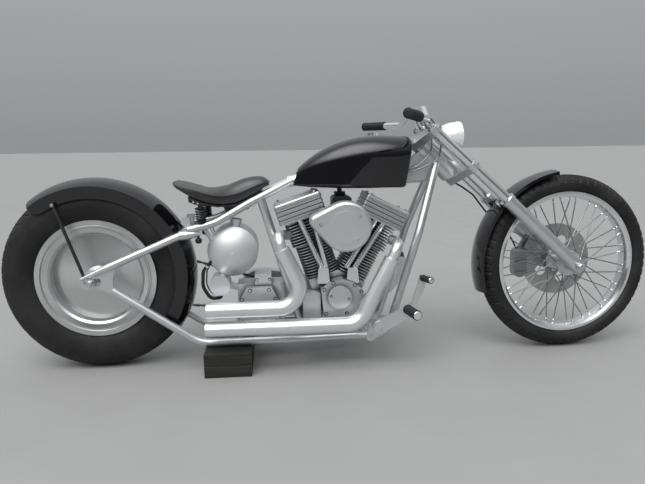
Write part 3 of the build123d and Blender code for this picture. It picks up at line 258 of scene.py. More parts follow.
def make_materials():
    looks = {name: metal(name, *row) for name, row in METALS.items()}
    looks["spun_aluminium"].round_brushed(0.8)
    looks["rotor_steel"].round_brushed(0.6)

    gloss = Look("black_gloss").set(Coat_Weight=1.0, Coat_Roughness=0.02, Specular_IOR_Level=0.1)
    gloss.colour(gloss.mix(gloss.noise(900, 2), (0.003, 0.003, 0.004), (0.006, 0.006, 0.008)))
    gloss.rough(gloss.noise(9, 5), 0.06, 0.14)
    gloss.bump(gloss.noise(160, 2), 0.03, 0.0003)
    looks["black_gloss"] = gloss

    satin = Look("black_satin").set(Specular_IOR_Level=0.5)
    tone = satin.spread(satin.noise(60, 5), 0, 1)
    satin.colour(satin.mix(tone, (0.01, 0.01, 0.011), (0.022, 0.022, 0.023)))
    satin.rough(satin.noise(40, 5), 0.28, 0.45)
    satin.bump(satin.noise(700, 2), 0.2, 0.0002)
    looks["black_satin"] = satin

    leather = Look("leather").set(Specular_IOR_Level=0.6, Sheen_Weight=0.05)
    leather.set(Coat_Weight=0.2, Coat_Roughness=0.3)
    tone = leather.spread(leather.noise(14, 5), 0, 1)
    leather.colour(leather.mix(tone, (0.008, 0.008, 0.009), (0.018, 0.018, 0.02)))
    leather.rough(leather.noise(30, 6), 0.28, 0.42)
    leather.bump(leather.spread(leather.cells(420), 0, 1, 0, 0.25), 0.16, 0.0004)
    leather.bump(leather.noise(55, 5), 0.1, 0.001)
    looks["leather"] = leather

    rubber = Look("rubber").set(Specular_IOR_Level=0.35)
    rubber.colour(rubber.mix(rubber.noise(30, 5), (0.008, 0.008, 0.008), (0.018, 0.018, 0.018)))
    rubber.rough(rubber.noise(80, 5), 0.5, 0.68)
    rubber.bump(rubber.noise(900, 3), 0.3, 0.0003)
    looks["rubber"] = rubber

    tyre = Look("tyre").set(Specular_IOR_Level=0.32)
    tone = tyre.spread(tyre.noise(9, 8), 0, 1, 0.42, 0.7)
    dust = tyre.mix(tone, (0.008, 0.008, 0.008), (0.02, 0.0195, 0.019))
    tyre.colour(tyre.mix(tyre.edges(0.51, 0.6), dust, (0.03, 0.029, 0.028)))
    tyre.rough(tyre.noise(60, 6), 0.5, 0.72)
    tyre.bump(tyre.noise(700, 4), 0.3, 0.0004)
    looks["tyre"] = tyre

    block = Look("block_black").set(Specular_IOR_Level=0.3)
    tone = block.spread(block.noise(6, 8, (1, 12, 12)), 0, 1)
    block.colour(block.mix(tone, (0.008, 0.008, 0.008), (0.03, 0.028, 0.026)))
    block.rough(block.noise(20, 6, (1, 10, 10)), 0.5, 0.75)
    block.bump(block.noise(40, 6, (1, 12, 12)), 0.35, 0.001)
    looks["block_black"] = block

    lens = Look("lens").set(Transmission_Weight=1.0, IOR=1.5)
    lens.colour(lens.mix(lens.noise(4, 2), (0.94, 0.96, 0.97), (0.98, 0.99, 1.0)))
    lens.rough(lens.noise(30, 3), 0.01, 0.05)
    wave = lens.tree.nodes.new("ShaderNodeTexWave")
    wave.bands_direction = "Y"
    wave.inputs["Scale"].default_value = 42
    wave.inputs["Distortion"].default_value = 0
    lens.link(lens.place, wave.inputs["Vector"])
    lens.bump(wave.outputs["Fac"], 0.5, 0.001)
    looks["lens"] = lens

    thread = Look("thread").set(Specular_IOR_Level=0.4)
    thread.colour(thread.mix(thread.noise(900, 2), (0.02, 0.02, 0.022), (0.06, 0.06, 0.062)))
    thread.rough(thread.noise(200, 3), 0.5, 0.7)
    thread.bump(thread.noise(1500, 2), 0.3, 0.0002)
    looks["thread"] = thread
    return {name: look.material for name, look in looks.items()}


materials = make_materials()

# Nodes whose finish isn't the one that their slot is named after
FINISH = {
    "cylinders": "finned_aluminium",
    "rocker_boxes": "cast_aluminium",
    "rear_disc": "spun_aluminium",
    "rear_rim": "spun_aluminium",
    "oil_tank": "satin_aluminium",
    "headlight": "pale_silver",
    "front_spokes": "dark_steel",
    "brake_caliper": "dark_steel",
    "rear_caliper": "dark_steel",
}


def finish_nodes():
    for entry in frame["record"]["subparts"]:
        name = entry["node"]
        material = materials[FINISH.get(name, entry["material_slot"])]
        data = nodes[name].data
        if not data.materials:
            data.materials.append(material)
        for index in range(len(data.materials)):
            data.materials[index] = material


# Mesh tools

WASHER_HEIGHT = 1.2


def add_object(name, data):
    made = bpy.data.objects.new(name, data)
    bpy.context.scene.collection.objects.link(made)
    return made


def angles_round(count):
    return [2 * pi * step / count for step in range(count)]


def square_to(axis):
    """An axis as a unit vector, and two more that are square to it and to each other."""
    axis = Vector(axis).normalized()
    side = axis.orthogonal().normalized()
    return axis, side, axis.cross(side)


def circle(centre, side, other, radius, steps):
    """Points round a centre, in the plane of two unit vectors."""
    size = radius / 1000
    return [centre + (side * cos(angle) + other * sin(angle)) * size for angle in angles_round(steps)]


class Piece:
    """A mesh put together from small turned, swept and drawn forms."""

    def __init__(self):
        self.bm = bmesh.new()

    def bridge(self, rings, close=False, caps=True):
        """Joins each ring of points to the next, and closes the ends with caps or to each other."""
        made = [[self.bm.verts.new(point) for point in ring] for ring in rings]
        pairs = list(zip(made, made[1:]))
        if close:
            pairs.append((made[-1], made[0]))
        for first, second in pairs:
            count = len(first)
            for index in range(count):
                following = (index + 1) % count
                self.bm.faces.new((first[index], first[following], second[following], second[index]))
        if caps == "strip":
            # The two halves of an end ring are joined across its middle line. At both ends of that line two
            # corners are the same point, which leaves a triangle.
            for ring in (made[0], made[-1]):
                for index in range(len(ring) // 2):
                    corners = (ring[index], ring[index + 1], ring[-index - 1], ring[-index])
                    self.bm.faces.new(list(dict.fromkeys(corners)))
        elif caps and not close:
            self.bm.faces.new(list(reversed(made[0])))
            self.bm.faces.new(made[-1])

    def turned(self, outline, centre, axis, steps):
        """An outline of (radius, height) turned about an axis; the ends are closed with flat caps."""
        axis, side, other = square_to(axis)
        rings = []
        for radius, height in outline:
            rings.append(circle(centre + axis * (height / 1000), side, other, radius, steps))
        self.bridge(rings)

    def hoop(self, section, centre, axis, steps):
        """A closed section of (radius, height) turned about an axis into a ring."""
        axis, side, other = square_to(axis)
        rings = []
        for angle in angles_round(steps):
            out = side * cos(angle) + other * sin(angle)
            rings.append([centre + (axis * height + out * radius) / 1000 for radius, height in section])
        self.bridge(rings, close=True)

    def tube(self, points, radius, sides, close=False):
        """A round wire along points, without twist."""
        rings = []
        count = len(points)
        before = None
        for index, point in enumerate(points):
            ahead = points[(index + 1) % count] if close or index + 1 < count else point
            behind = points[index - 1] if close or index else point
            heading = (ahead - behind).normalized()
            if before is None:
                side = heading.orthogonal().normalized()
            else:
                side = (before - heading * before.dot(heading)).normalized()
            before = side
            rings.append(circle(point, side, heading.cross(side), radius, sides))
        self.bridge(rings, close=close)

    def hex_bolt(self, centre, axis, size, height):
        """A six-sided head, about size across its flats, on a washer."""
        self.turned([(size * 0.66, 0), (size * 0.66, WASHER_HEIGHT)], centre, axis, 20)
        top = centre + Vector(axis).normalized() * (WASHER_HEIGHT / 1000)
        self.turned([(size * 0.56, 0), (size * 0.56, height * 0.85), (size * 0.48, height)], top, axis, 6)

    def socket_bolt(self, centre, axis, size):
        """A round head, size across and half as high, with a round recess."""
        outline = [
            (size * 0.5, 0), (size * 0.5, size * 0.42), (size * 0.44, size * 0.5),
            (size * 0.27, size * 0.5), (size * 0.25, size * 0.12),
        ]
        self.turned(outline, centre, axis, 18)

    def finish(self, name, slot, body, steered=False, angle=32, material=None):
        """Makes the object. It rides on its body, unless body is None."""
        if steered:
            self.bm.transform(STEERED)
        bmesh.ops.recalc_face_normals(self.bm, faces=self.bm.faces)
        data = bpy.data.meshes.new(name)
        self.bm.to_mesh(data)
        self.bm.free()
        piece = add_object(name, data)
        data.shade_smooth()
        data.set_sharp_from_angle(angle=radians(angle))
        data.materials.append(materials[material or slot])
        if body:
            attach(piece, body)
        return piece


def arc_through(first, middle, last, count):
    """Points on the circle through three points of a plane, first and last included."""
    (ax, ay), (bx, by), (cx, cy) = first, middle, last
    d = 2 * (ax * (by - cy) + bx * (cy - ay) + cx * (ay - by))
    a2, b2, c2 = ax * ax + ay * ay, bx * bx + by * by, cx * cx + cy * cy
    ux = (a2 * (by - cy) + b2 * (cy - ay) + c2 * (ay - by)) / d
    uy = (a2 * (cx - bx) + b2 * (ax - cx) + c2 * (bx - ax)) / d
    radius = sqrt((ax - ux) ** 2 + (ay - uy) ** 2)
    start = atan2(ay - uy, ax - ux)
    through = (atan2(by - uy, bx - ux) - start) % (2 * pi)
    sweep = (atan2(cy - uy, cx - ux) - start) % (2 * pi)
    if through > sweep:
        sweep -= 2 * pi
    return [
        (ux + radius * cos(start + sweep * step / count), uy + radius * sin(start + sweep * step / count))
        for step in range(count + 1)
    ]


def interpolate(table, x):
    """A smooth curve through (x, value) rows."""
    if x <= table[0][0]:
        return table[0][1]
    if x >= table[-1][0]:
        return table[-1][1]
    index = next(index for index in range(len(table) - 1) if x <= table[index + 1][0])
    x0, v0 = table[index]
    x1, v1 = table[index + 1]
    before = table[index - 1] if index else table[0]
    after = table[index + 2] if index + 2 < len(table) else table[-1]
    m0 = (v1 - before[1]) / (x1 - before[0]) * (x1 - x0)
    m1 = (after[1] - v0) / (after[0] - x0) * (x1 - x0)
    t = (x - x0) / (x1 - x0)
    return (
        (2 * t ** 3 - 3 * t ** 2 + 1) * v0 + (t ** 3 - 2 * t ** 2 + t) * m0
        + (3 * t ** 2 - 2 * t ** 3) * v1 + (t ** 3 - t ** 2) * m1
    )


# Tyres: the CAD tyre's own section, with the tread cut in

REAR_BLOCKS = 44
FRONT_BLOCKS = 64
TREAD_STEPS = 1056
BEAD_DEPTH = 13
RIM_GAP = 0.4

# How far the rear tyre stays inside the CAD tyre's mesh, whose corners cut its round outline
MESH_GAP = 0.15

# Fine rings moulded in the side wall, as shares of the way from the rim to the shoulder
SIDE_RINGS = (0.2, 0.55, 0.82)
RING_HALF = 2.6
RING_HEIGHT = 0.7


def groove(distance, width):
    """1 at the middle of a groove, 0 outside it, with a short slope between."""
    return max(0.0, min(1.0, (width - abs(distance)) / (width * 0.35)))


def rear_tread(turn, share):
    """Depth of the tread, 0 to 1, at a share of a turn and a place from -1 to 1 across the tread."""
    depth = max(groove(share - 0.2, 0.035), groove(share + 0.2, 0.035))
    side = 1 if share > 0 else -1
    reach = abs(share)
    if 0.26 < reach < 0.99:
        sweep = turn * REAR_BLOCKS + side * 0.25 + 1.1 * (reach - 0.26) ** 1.6
        depth = max(depth, groove((sweep % 1) - 0.5, 0.11))
    if reach <= 0.14:
        sweep = turn * REAR_BLOCKS + 2.0 * share
        depth = max(depth, 0.8 * groove((sweep % 1) - 0.5, 0.07))
    return depth


def front_tread(turn, share):
    """As rear_tread, for the front tyre's two grooves a side and its blocks."""
    reach = abs(share)
    side = 1 if share > 0 else -1
    depth = max(groove(reach - 0.12, 0.04), groove(reach - 0.5, 0.04))
    if reach > 0.54:
        sweep = turn * FRONT_BLOCKS + side * 0.25 - 0.35 * (reach - 0.54)
        depth = max(depth, groove((sweep % 1) - 0.5, 0.15))
    elif reach > 0.16:
        sweep = turn * FRONT_BLOCKS - side * 0.25 + 0.9 * reach
        depth = max(depth, 0.8 * groove((sweep % 1) - 0.5, 0.1))
    return depth


def tyre(
    name, node, body, centre, half, inset, tyre_r, rim_r, side_up, drop, tuck, deep, skirt, tread, steered,
):
    """half is half its width where it is widest, side_up above the rim, and inset the same at the rim. The
    shoulder is drop below the crown and tuck in from the side. The tread's depth is deep, and it runs skirt
    down the side."""
    bead = rim_r - BEAD_DEPTH + RIM_GAP
    flange = rim_r + RIM_GAP
    shoulder = (half - tuck, tyre_r - drop)
    side = arc_through((inset, flange), (half, rim_r + side_up), shoulder, 16)
    crown = arc_through(shoulder, (0, tyre_r), (-shoulder[0], shoulder[1]), 36)
    outline = [(inset, bead)] + side + crown[1:-1] + [(-y, r) for y, r in reversed(side)] + [(-inset, bead)]
    steps = TREAD_STEPS
    piece = Piece()
    rings = []
    # The tread is cut inward down to a little below the shoulder, and sideways below that
    limit = shoulder[1] - drop * 0.25
    for step in range(steps):
        turn = step / steps
        angle = 2 * pi * turn
        ring = []
        for y, r in outline:
            face = 1 if y > 0 else -1
            if r > limit:
                r -= deep * tread(turn, y / (shoulder[0] * 1.02))
            elif r > limit - skirt:
                y -= face * deep * 1.1 * tread(turn, face * 0.98)
            elif abs(y) > inset + 2:
                for line in SIDE_RINGS:
                    if abs(r - flange - (shoulder[1] - flange) * line) < RING_HALF:
                        y += face * RING_HEIGHT
            ring.append(on_circle(centre, y, r, angle))
        rings.append(ring)
    piece.bridge(rings, close=True)
    made = piece.finish(name, "tyre", body, steered, angle=40)
    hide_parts(node)


# Saddle

# Its middle line, its welt and its lower edge as (x, z), and its half width as (x, y)
SADDLE_TOP = [
    (292, 698), (314, 692), (353, 678), (394, 670), (428, 670), (461, 674), (489, 680), (517, 691),
    (544, 702), (572, 708), (599, 710), (622, 709), (636, 704), (644, 697),
]
SADDLE_WELT = [
    (290, 697), (314, 689), (376, 671), (424, 654), (448, 648), (472, 645), (497, 646), (522, 650),
    (548, 659), (574, 670), (600, 681), (626, 688), (645, 691),
]
SADDLE_FOOT = [
    (290, 685), (302, 680), (325, 668), (354, 650), (408, 625), (454, 614), (513, 614), (550, 626),
    (597, 648), (625, 669), (645, 673),
]
SADDLE_HALF = [
    (290, 0), (290.6, 40), (293, 66), (299, 90), (311, 108), (334, 117), (366, 117), (410, 111), (450, 97),
    (490, 79), (540, 60), (590, 47), (620, 39), (635, 30), (642, 19), (644.6, 8), (645, 0),
]
SADDLE_ENDS = (290, 645)
SADDLE_SPINE = (346, 604)

# Half its length and half its width, by which a distance in from the edge becomes a scale
SADDLE_REACH = (178, 118)
WELT_R = 2.2
STITCH_R = 0.55

# The cloth run that fills it, with lengths in metres. Points near the foot and the welt are held.
CLOTH_VOXEL = 0.0045
CLOTH_PRESSURE = 4
CLOTH_STIFFNESS = 30
CLOTH_FRAMES = 20
CLOTH_CAP = 0.005
HELD_BY_FOOT = 0.006
HELD_BY_WELT = 0.005


def saddle_outline(count, shrink):
    """The plan of the saddle as (x, y), from the middle of its rear round the left side and back."""
    rear, nose = SADDLE_ENDS
    middle = (rear + nose) / 2
    length_scale = 1 - shrink / SADDLE_REACH[0]
    width_scale = 1 - shrink / SADDLE_REACH[1]
    points = []
    for angle in angles_round(count):
        x = middle - (nose - rear) / 2 * cos(angle)
        half = interpolate(SADDLE_HALF, x)
        points.append((middle + (x - middle) * length_scale, half * width_scale * (1 if angle < pi else -1)))
    return points


def saddle_rings(outline):
    """Rings from the middle of the underside out to the edge, up the band and in over the top."""
    rings = []
    for share in (0.94, 0.6, 0.25):
        rings.append([saddle_base(x, y, share) for x, y in outline])
    for lift, inset in ((0, 5), (0.12, 2.2), (0.5, 0.4), (0.86, 0.2), (1, 0)):
        ring = []
        for x, y in outline:
            low, high = interpolate(SADDLE_FOOT, x), interpolate(SADDLE_WELT, x)
            narrow = 1 - inset / max(abs(y), 20)
            ring.append(at(x, y * narrow, low + 1 + (high - low - 2) * lift))
        rings.append(ring)
    for share in (0.07, 0.16, 0.3, 0.46, 0.64, 0.8, 0.94):
        rings.append([saddle_crown(x, y, share, 1.0) for x, y in outline])
    return rings


def toward_spine(x, share):
    """x, moved a share of the way to the spine where it is beyond the spine's end."""
    spine = max(SADDLE_SPINE[0], min(SADDLE_SPINE[1], x))
    return x + (spine - x) * share


def saddle_base(x, y, share):
    """A point of the underside, a share of the way from the edge in to the spine."""
    inner = toward_spine(x, share)
    return at(inner, y * (1 - share), interpolate(SADDLE_FOOT, inner) + 1.0)


def saddle_crown(x, y, share, sink):
    """A point of the crowned top, a share of the way from the edge in to the spine, and sunk a little."""
    inner = toward_spine(x, share)
    edge = interpolate(SADDLE_WELT, x)
    rise = interpolate(SADDLE_TOP, inner) - edge
    bend = 2.8 if rise > 0 else 1.5
    return at(inner, y * (1 - share), edge - sink + rise * (1 - (1 - share) ** bend))


def swell(seat, held):
    """Puffs a seat up by a short cloth run; held says which points stay."""
    remesh = seat.modifiers.new("remesh", "REMESH")
    remesh.mode = "VOXEL"
    remesh.voxel_size = CLOTH_VOXEL
    bpy.context.view_layer.objects.active = seat
    bpy.ops.object.modifier_apply(modifier=remesh.name)
    rest = [vertex.co.copy() for vertex in seat.data.vertices]
    group = seat.vertex_groups.new(name="held")
    group.add([index for index, point in enumerate(rest) if held(point)], 1.0, "REPLACE")
    cloth = seat.modifiers.new("cloth", "CLOTH")
    cloth.settings.use_pressure = True
    cloth.settings.uniform_pressure_force = CLOTH_PRESSURE
    cloth.settings.vertex_group_mass = group.name
    cloth.settings.tension_stiffness = CLOTH_STIFFNESS
    cloth.settings.compression_stiffness = CLOTH_STIFFNESS
    cloth.settings.effector_weights.gravity = 0
    scene = bpy.context.scene
    for number in range(1, CLOTH_FRAMES + 1):
        scene.frame_set(number)
    puffed = seat.evaluated_get(bpy.context.evaluated_depsgraph_get()).data
    moved = [vertex.co.copy() for vertex in puffed.vertices]
    seat.modifiers.remove(cloth)
    scene.frame_set(1)
    for vertex, start, end in zip(seat.data.vertices, rest, moved):
        step = end - start
        if step.length > CLOTH_CAP:
            step = step.normalized() * CLOTH_CAP
        vertex.co = start + step
    seat.vertex_groups.clear()
    smooth = seat.modifiers.new("smooth", "CORRECTIVE_SMOOTH")
    smooth.iterations = 4
    smooth.use_only_smooth = True
    bpy.ops.object.modifier_apply(modifier=smooth.name)


def saddle():
    """A crowned top panel inside a welt, a band below it and a base, filled by a short cloth run."""
    piece = Piece()
    piece.bridge(saddle_rings(saddle_outline(160, 2.5)), caps="strip")
    seat = piece.finish("saddle", "leather", "frame", angle=180)
    edge = [at(x, y, interpolate(SADDLE_WELT, x)) for x, y in saddle_outline(220, 1.2)]
    near = KDTree(len(edge))
    for index, point in enumerate(edge):
        near.insert(point, index)
    near.balance()

    def held(point):
        foot = interpolate(SADDLE_FOOT, point.x * 1000 + MIDDLE_X) / 1000
        return point.z < foot + HELD_BY_FOOT or near.find(point)[2] < HELD_BY_WELT

    swell(seat, held)
    finer = seat.modifiers.new("finer", "SUBSURF")
    finer.levels = 1
    finer.render_levels = 1
    seat.data.shade_smooth()
    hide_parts("seat_cushion")

    tree = BVHTree.FromObject(seat, bpy.context.evaluated_depsgraph_get())

    def on_surface(points, outset):
        found = [tree.find_nearest(point) for point in points]
        return [place + normal * outset for place, normal, _, _ in found]

    welt = Piece()
    welt.tube(on_surface(edge, 0.0006), WELT_R, 10, close=True)
    welt.finish("saddle_welt", "leather", "frame", angle=180)
    stitches = Piece()
    row = on_surface([saddle_crown(x, y, 0.1, 0.5) for x, y in saddle_outline(300, 1.2)], 0.0002)
    for first, second in zip(row[0::2], row[1::2]):
        stitches.tube([first, (first + second) / 2 + Vector((0, 0, 0.0004)), second], STITCH_R, 6)
    stitches.finish("saddle_stitches", "leather", "frame", material="thread")


def rail_rubbers():
    """A bump rubber on a stud under the closed rear end of each upper rail."""
    piece = Piece()
    outline = [(6, 0), (10, 2), (12, 8), (12, 13), (9, 18), (5, 19), (5, 26)]
    for side in (-1, 1):
        piece.turned(outline, at(382, side * 98, 477), UP, 24)
    piece.finish("rail_rubbers", "rubber", "frame")


SPRING_X = 394
SPRING_Y = 95
SPRING_FOOT = 555
SPRING_TOP = 606
SPRING_R = 16.3
SPRING_WIRE_R = 3.5
SPRING_TURNS = 4.5
STEPS_A_TURN = 22
PAN_OVER_SPRING = 625.5


def seat_springs():
    """Coil springs between cups, each with a stud up to the saddle's pan and a foot on the frame tube."""
    piece = Piece()
    low, high = SPRING_FOOT + 6, SPRING_TOP - 6
    steps = int(SPRING_TURNS * STEPS_A_TURN)
    for side in (-1, 1):
        foot = at(SPRING_X, side * SPRING_Y, SPRING_FOOT)
        top = at(SPRING_X, side * SPRING_Y, SPRING_TOP)
        coil = []
        for step in range(steps + 1):
            share = step / steps
            angle = 2 * pi * SPRING_TURNS * share
            offset = Vector((cos(angle), sin(angle), 0)) * (SPRING_R / 1000)
            coil.append(at(SPRING_X, side * SPRING_Y, low + (high - low) * share) + offset)
        piece.tube(coil, SPRING_WIRE_R, 12)
        piece.turned([(17, 0), (19.6, 1), (19.6, 2.6), (16, 4), (9, 4), (9, 11), (6, 11)], foot, UP, 32)
        piece.turned([(5, 0), (5, SPRING_TOP - SPRING_FOOT)], foot, UP, 16)
        piece.turned([(8, -10), (8, -4), (16, -4), (19.6, -2.6), (19.6, -1), (15, 0)], top, UP, 32)
        piece.turned([(7, 0), (7, PAN_OVER_SPRING - SPRING_TOP)], top, UP, 20)
        piece.turned([(8, -30), (8, 0.5)], foot, UP, 20)
        piece.hex_bolt(top + Vector((0, 0, 0.001)), UP, 17, 6)
    made = piece.finish("seat_coils", "black_satin", "frame")
    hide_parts("seat_springs")


# Rims, spokes and hubs

SPOKE_HOLE_R = 48
SPOKE_COUNT = 40
SPOKE_SWING = 42
SPOKE_R = 2.2
FLANGE_HALF = 2.5
SEAT_GAP = 0.3
RIM_INNER_R = FRONT_RIM_R - 23
VALVE_R = 2.6
VALVE_AT = 250


def spoke_nipples():
    """A nipple on each spoke at the rim and a head at the hub, on the same pattern as the spokes."""
    piece = Piece()
    clear = FLANGE_HALF + SPOKE_R + SEAT_GAP + 0.8
    per_set = SPOKE_COUNT // 4
    spread = 360 / per_set
    for side, flange_y, rim_y in ((-1, -46, -7), (1, 35.5, 7)):
        for face in (-1, 1):
            swing = radians(face * SPOKE_SWING)
            for turn in range(per_set):
                angle = radians(turn * spread + (side + 1) * spread / 4 + (face + 1) * spread / 4)
                start = on_circle(FRONT_AXLE, flange_y + face * side * clear, SPOKE_HOLE_R, angle)
                end = on_circle(FRONT_AXLE, rim_y + face * side * 2.5, RIM_INNER_R - 0.3, angle + swing)
                inward = start - end
                piece.turned([(3.6, -2), (3.6, 8), (3.0, 13), (2.5, 14)], end, inward, 10)
                piece.turned([(3.4, 0), (3.4, 3)], start + inward.normalized() * 0.002, -inward, 10)
    piece.finish("spoke_nipples", "polished", "front_wheel", True)


def wheel_details():
    """The screws of both hubs, and a tyre valve on each wheel."""
    front = Piece()
    for step in range(5):
        front.socket_bolt(on_circle(FRONT_AXLE, 59.5, 38, 2 * pi * (step + 0.5) / 5), LEFT, 10)
    front.tube([inside_rim(24 + 3 * step) for step in range(3)], VALVE_R, 10)
    front.finish("front_hub_bolts", "steel", "front_wheel", True)

    rear = Piece()
    for step in range(6):
        rear.hex_bolt(on_circle(REAR_AXLE, 89.5, 40, 2 * pi * (step + 0.5) / 6), LEFT, 9, 5)
    stem = [(-190, 40), (-178, 44), (-166, 52)]
    rear.tube([at(x, y, REAR_TYRE_R + 4) for x, y in stem], VALVE_R, 10)
    rear.finish("rear_hub_bolts", "steel", "rear_wheel")


def inside_rim(height):
    """A point a height inside the front rim, low on the wheel, for its valve."""
    return on_circle(FRONT_AXLE, 0, FRONT_RIM_R - 22 - height, radians(VALVE_AT))


# Fasteners and trim

# Screws of the engine's right side: the face they stand on (y), head size, and their places as (x, z)
RIGHT_SCREWS = [
    (-185.5, 9, [(818, 546), (956, 573), (947, 491)]),
    (-131.8, 7, [(859, 271), (924, 258)]),
    (-115.8, 9, [(834, 292), (868, 317), (948, 306), (973, 281), (918, 199), (840, 199)]),
    (-83.8, 9, [(559, 290), (629, 290), (652, 256), (652, 170), (529, 170), (529, 256)]),
    (-49.8, 8, [(584, 322), (632, 322)]),
]

# The primary cover's faces on the left, and its screws: centre, face, radius, head size and angles
COVER_Y = 157.8
CLUTCH_Y = 165.8
LEFT_SCREWS = [
    (CRANK, COVER_Y, 62, 8, [radians(-100 + step * 200 / 6 - 3) for step in range(7)]),
    (CLUTCH, COVER_Y, 82, 8, [radians(100 + step * 160 / 5 + 3) for step in range(6)]),
    (CLUTCH, CLUTCH_Y, 52, 8, angles_round(5)),
]


def engine_fasteners():
    """On the right each screw's light head stands in a black ring, a painted shade for the recess round it.
    """
    piece = Piece()
    recess_shade_rings = Piece()
    for y, size, places in RIGHT_SCREWS:
        for x, z in places:
            piece.socket_bolt(at(x, y, z), RIGHT, size)
            # The black ring is painted shade: the recess round the head is dark only by the shade in it.
            recess = [(size * 0.82, -0.3), (size * 0.82, 0.35), (size * 0.74, 0.5)]
            recess_shade_rings.turned(recess, at(x, y, z), RIGHT, 20)
    for centre, y, radius, size, angles in LEFT_SCREWS:
        for angle in angles:
            piece.socket_bolt(on_circle(centre, y, radius, angle), LEFT, size)
    # Two more, near the line from the crank to the clutch
    for x in (728, 804):
        piece.socket_bolt(at(x, 161.8, 214 + (766 - x) * 0.087), LEFT, 7)
    piece.finish("engine_screws", "steel", "frame")
    recess_shade_rings.finish("screw_recess_shade_rings", "black_satin", "frame")


CYLINDER_ANGLES = (18.5, -26.5)
ROCKER_WIDTH = 178
ROCKER_DEPTH = 156
ROCKER_SHIFT = -16
ROCKER_CORNER = 10
HEAD_TOP = 372
BOX_TOP = 449.8
RIB_LEVELS = (6, 12, 26.5, 42.5, 59, 65)


def cylinder_axes(angle):
    """The way up along a cylinder, and the way ahead across it."""
    tilt = radians(angle)
    return Vector((-sin(tilt), 0, cos(tilt))), Vector((cos(tilt), 0, sin(tilt)))


def on_cylinder(angle, ahead, side, up):
    high, front = cylinder_axes(angle)
    return at(CRANK[0], side, CRANK[1]) + (high * up + front * ahead) / 1000


def head_details():
    """A nut near each corner of each rocker box."""
    piece = Piece()
    for angle in CYLINDER_ANGLES:
        high, _ = cylinder_axes(angle)
        for ahead in (-70, 70):
            for side in (-78, 46):
                piece.hex_bolt(on_cylinder(angle, ahead, side, BOX_TOP), high, 9, 5)
    piece.finish("head_screws", "steel", "frame")


def rocker_ribs():
    """Fine ribs round each rocker box, between its grooves."""
    piece = Piece()
    half_x, half_y = ROCKER_WIDTH / 2 - ROCKER_CORNER, ROCKER_DEPTH / 2 - ROCKER_CORNER
    for angle in CYLINDER_ANGLES:
        for level in RIB_LEVELS:
            rings = []
            for up, out in ((0, -0.5), (0.5, 1.8), (2.3, 1.8), (2.8, -0.5)):
                ring = []
                for quarter, (sx, sy) in enumerate(((1, 1), (-1, 1), (-1, -1), (1, -1))):
                    for step in range(7):
                        turn = radians(90 * quarter + 15 * step)
                        ahead = sx * half_x + (ROCKER_CORNER + out) * cos(turn)
                        side = sy * half_y + (ROCKER_CORNER + out) * sin(turn)
                        ring.append(on_cylinder(angle, ahead, side + ROCKER_SHIFT, HEAD_TOP + level + up))
                rings.append(ring)
            piece.bridge(rings, caps=False)
    piece.finish("rocker_ribs", "cast_aluminium", "frame")


def frame_fasteners():
    """The rear axle's nuts and ends, the bolts on both sides, and one in the middle that faces down."""
    piece = Piece()
    for side in (-1, 1):
        out = (0, side, 0)
        piece.hex_bolt(at(0, side * 124.3, REAR_TYRE_R), out, 21, 9)
        piece.turned([(10, 0), (10, 7), (8.6, 8.6)], at(0, side * 133.5, REAR_TYRE_R), out, 20)
        piece.hex_bolt(at(-118, side * 94.5, REAR_TYRE_R + 277), out, 9, 5)
        piece.hex_bolt(at(1031, side * 196, 163), out, 13, 6)
        piece.socket_bolt(at(1008, side * 123.2, 112), out, 9)
        piece.hex_bolt(at(1187, side * 166, 330), out, 8, 4)
    piece.hex_bolt(at(1025, 0, 662), (0, 0, -1), 10, 5)
    piece.finish("frame_bolts", "steel", "frame")


# The legs' distance from the middle, heights up them, and the collar's section as (radius, height)
LEG_Y = 97.5
FORK_TOP = 790
TREE_SCREWS = (574, 771)
SLIDER_COLLAR = [(28.6, 388), (28.6, 391), (27, 393), (19.6, 393), (19.6, 388)]

# The middle of the handlebar over each riser, and the foot of the screws on it
RISER = (1206, 45)
RISER_SCREW_Z = 953.2


def fork_fasteners():
    """Caps, screws and nuts of the fork and its trees, the sliders' collars and the risers' screws."""
    piece = Piece()
    for side in (-1, 1):
        out = (0, side, 0)
        leg = side * LEG_Y
        piece.hex_bolt(fork_at(FORK_TOP, 0, leg), FORK_UP, 24, 6)
        for along in TREE_SCREWS:
            piece.socket_bolt(fork_at(along, 16, side * 121), out, 8)
        piece.hex_bolt(fork_at(0, 0, side * 131.8), out, 21, 8)
        piece.socket_bolt(fork_at(-12, 22, leg), FORK_AHEAD, 8)
        for ahead in (-7, 7):
            piece.socket_bolt(at(RISER[0] + ahead, side * RISER[1], RISER_SCREW_Z), UP, 7)
        piece.hoop(SLIDER_COLLAR, fork_at(0, 0, leg), FORK_UP, 40)
    piece.hex_bolt(fork_at(FORK_TOP, -64, 0), FORK_UP, 26, 7)
    piece.finish("fork_bolts", "steel", "steering", True)


LAMP = (1368, 0, 846)


def lamp_details():
    """A dished reflector with a bulb behind a fluted glass."""
    face = at(*LAMP)
    glass = Piece()
    glass.turned([(48.4, -2.5), (48.6, 0.4), (40, 0.9), (24, 1.0), (2, 1.0)], face, FORWARD, 56)
    made = glass.finish("lamp_glass", "lens", "steering", True, angle=60)
    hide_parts("headlight_lens")
    dish = Piece()
    dish.turned([(48.4, -3.2), (44, -5), (34, -8), (20, -9.8), (4, -10.3)], face, FORWARD, 56)
    dish.finish("lamp_reflector", "polished", "steering", True, angle=60)
    bulb = Piece()
    bulb.turned([(7, -10), (7, -8.5), (4.2, -8), (4.2, -6), (3, -4.4), (1, -3.6)], face, FORWARD, 20)
    bulb.finish("lamp_bulb", "polished", "steering", True, angle=60)


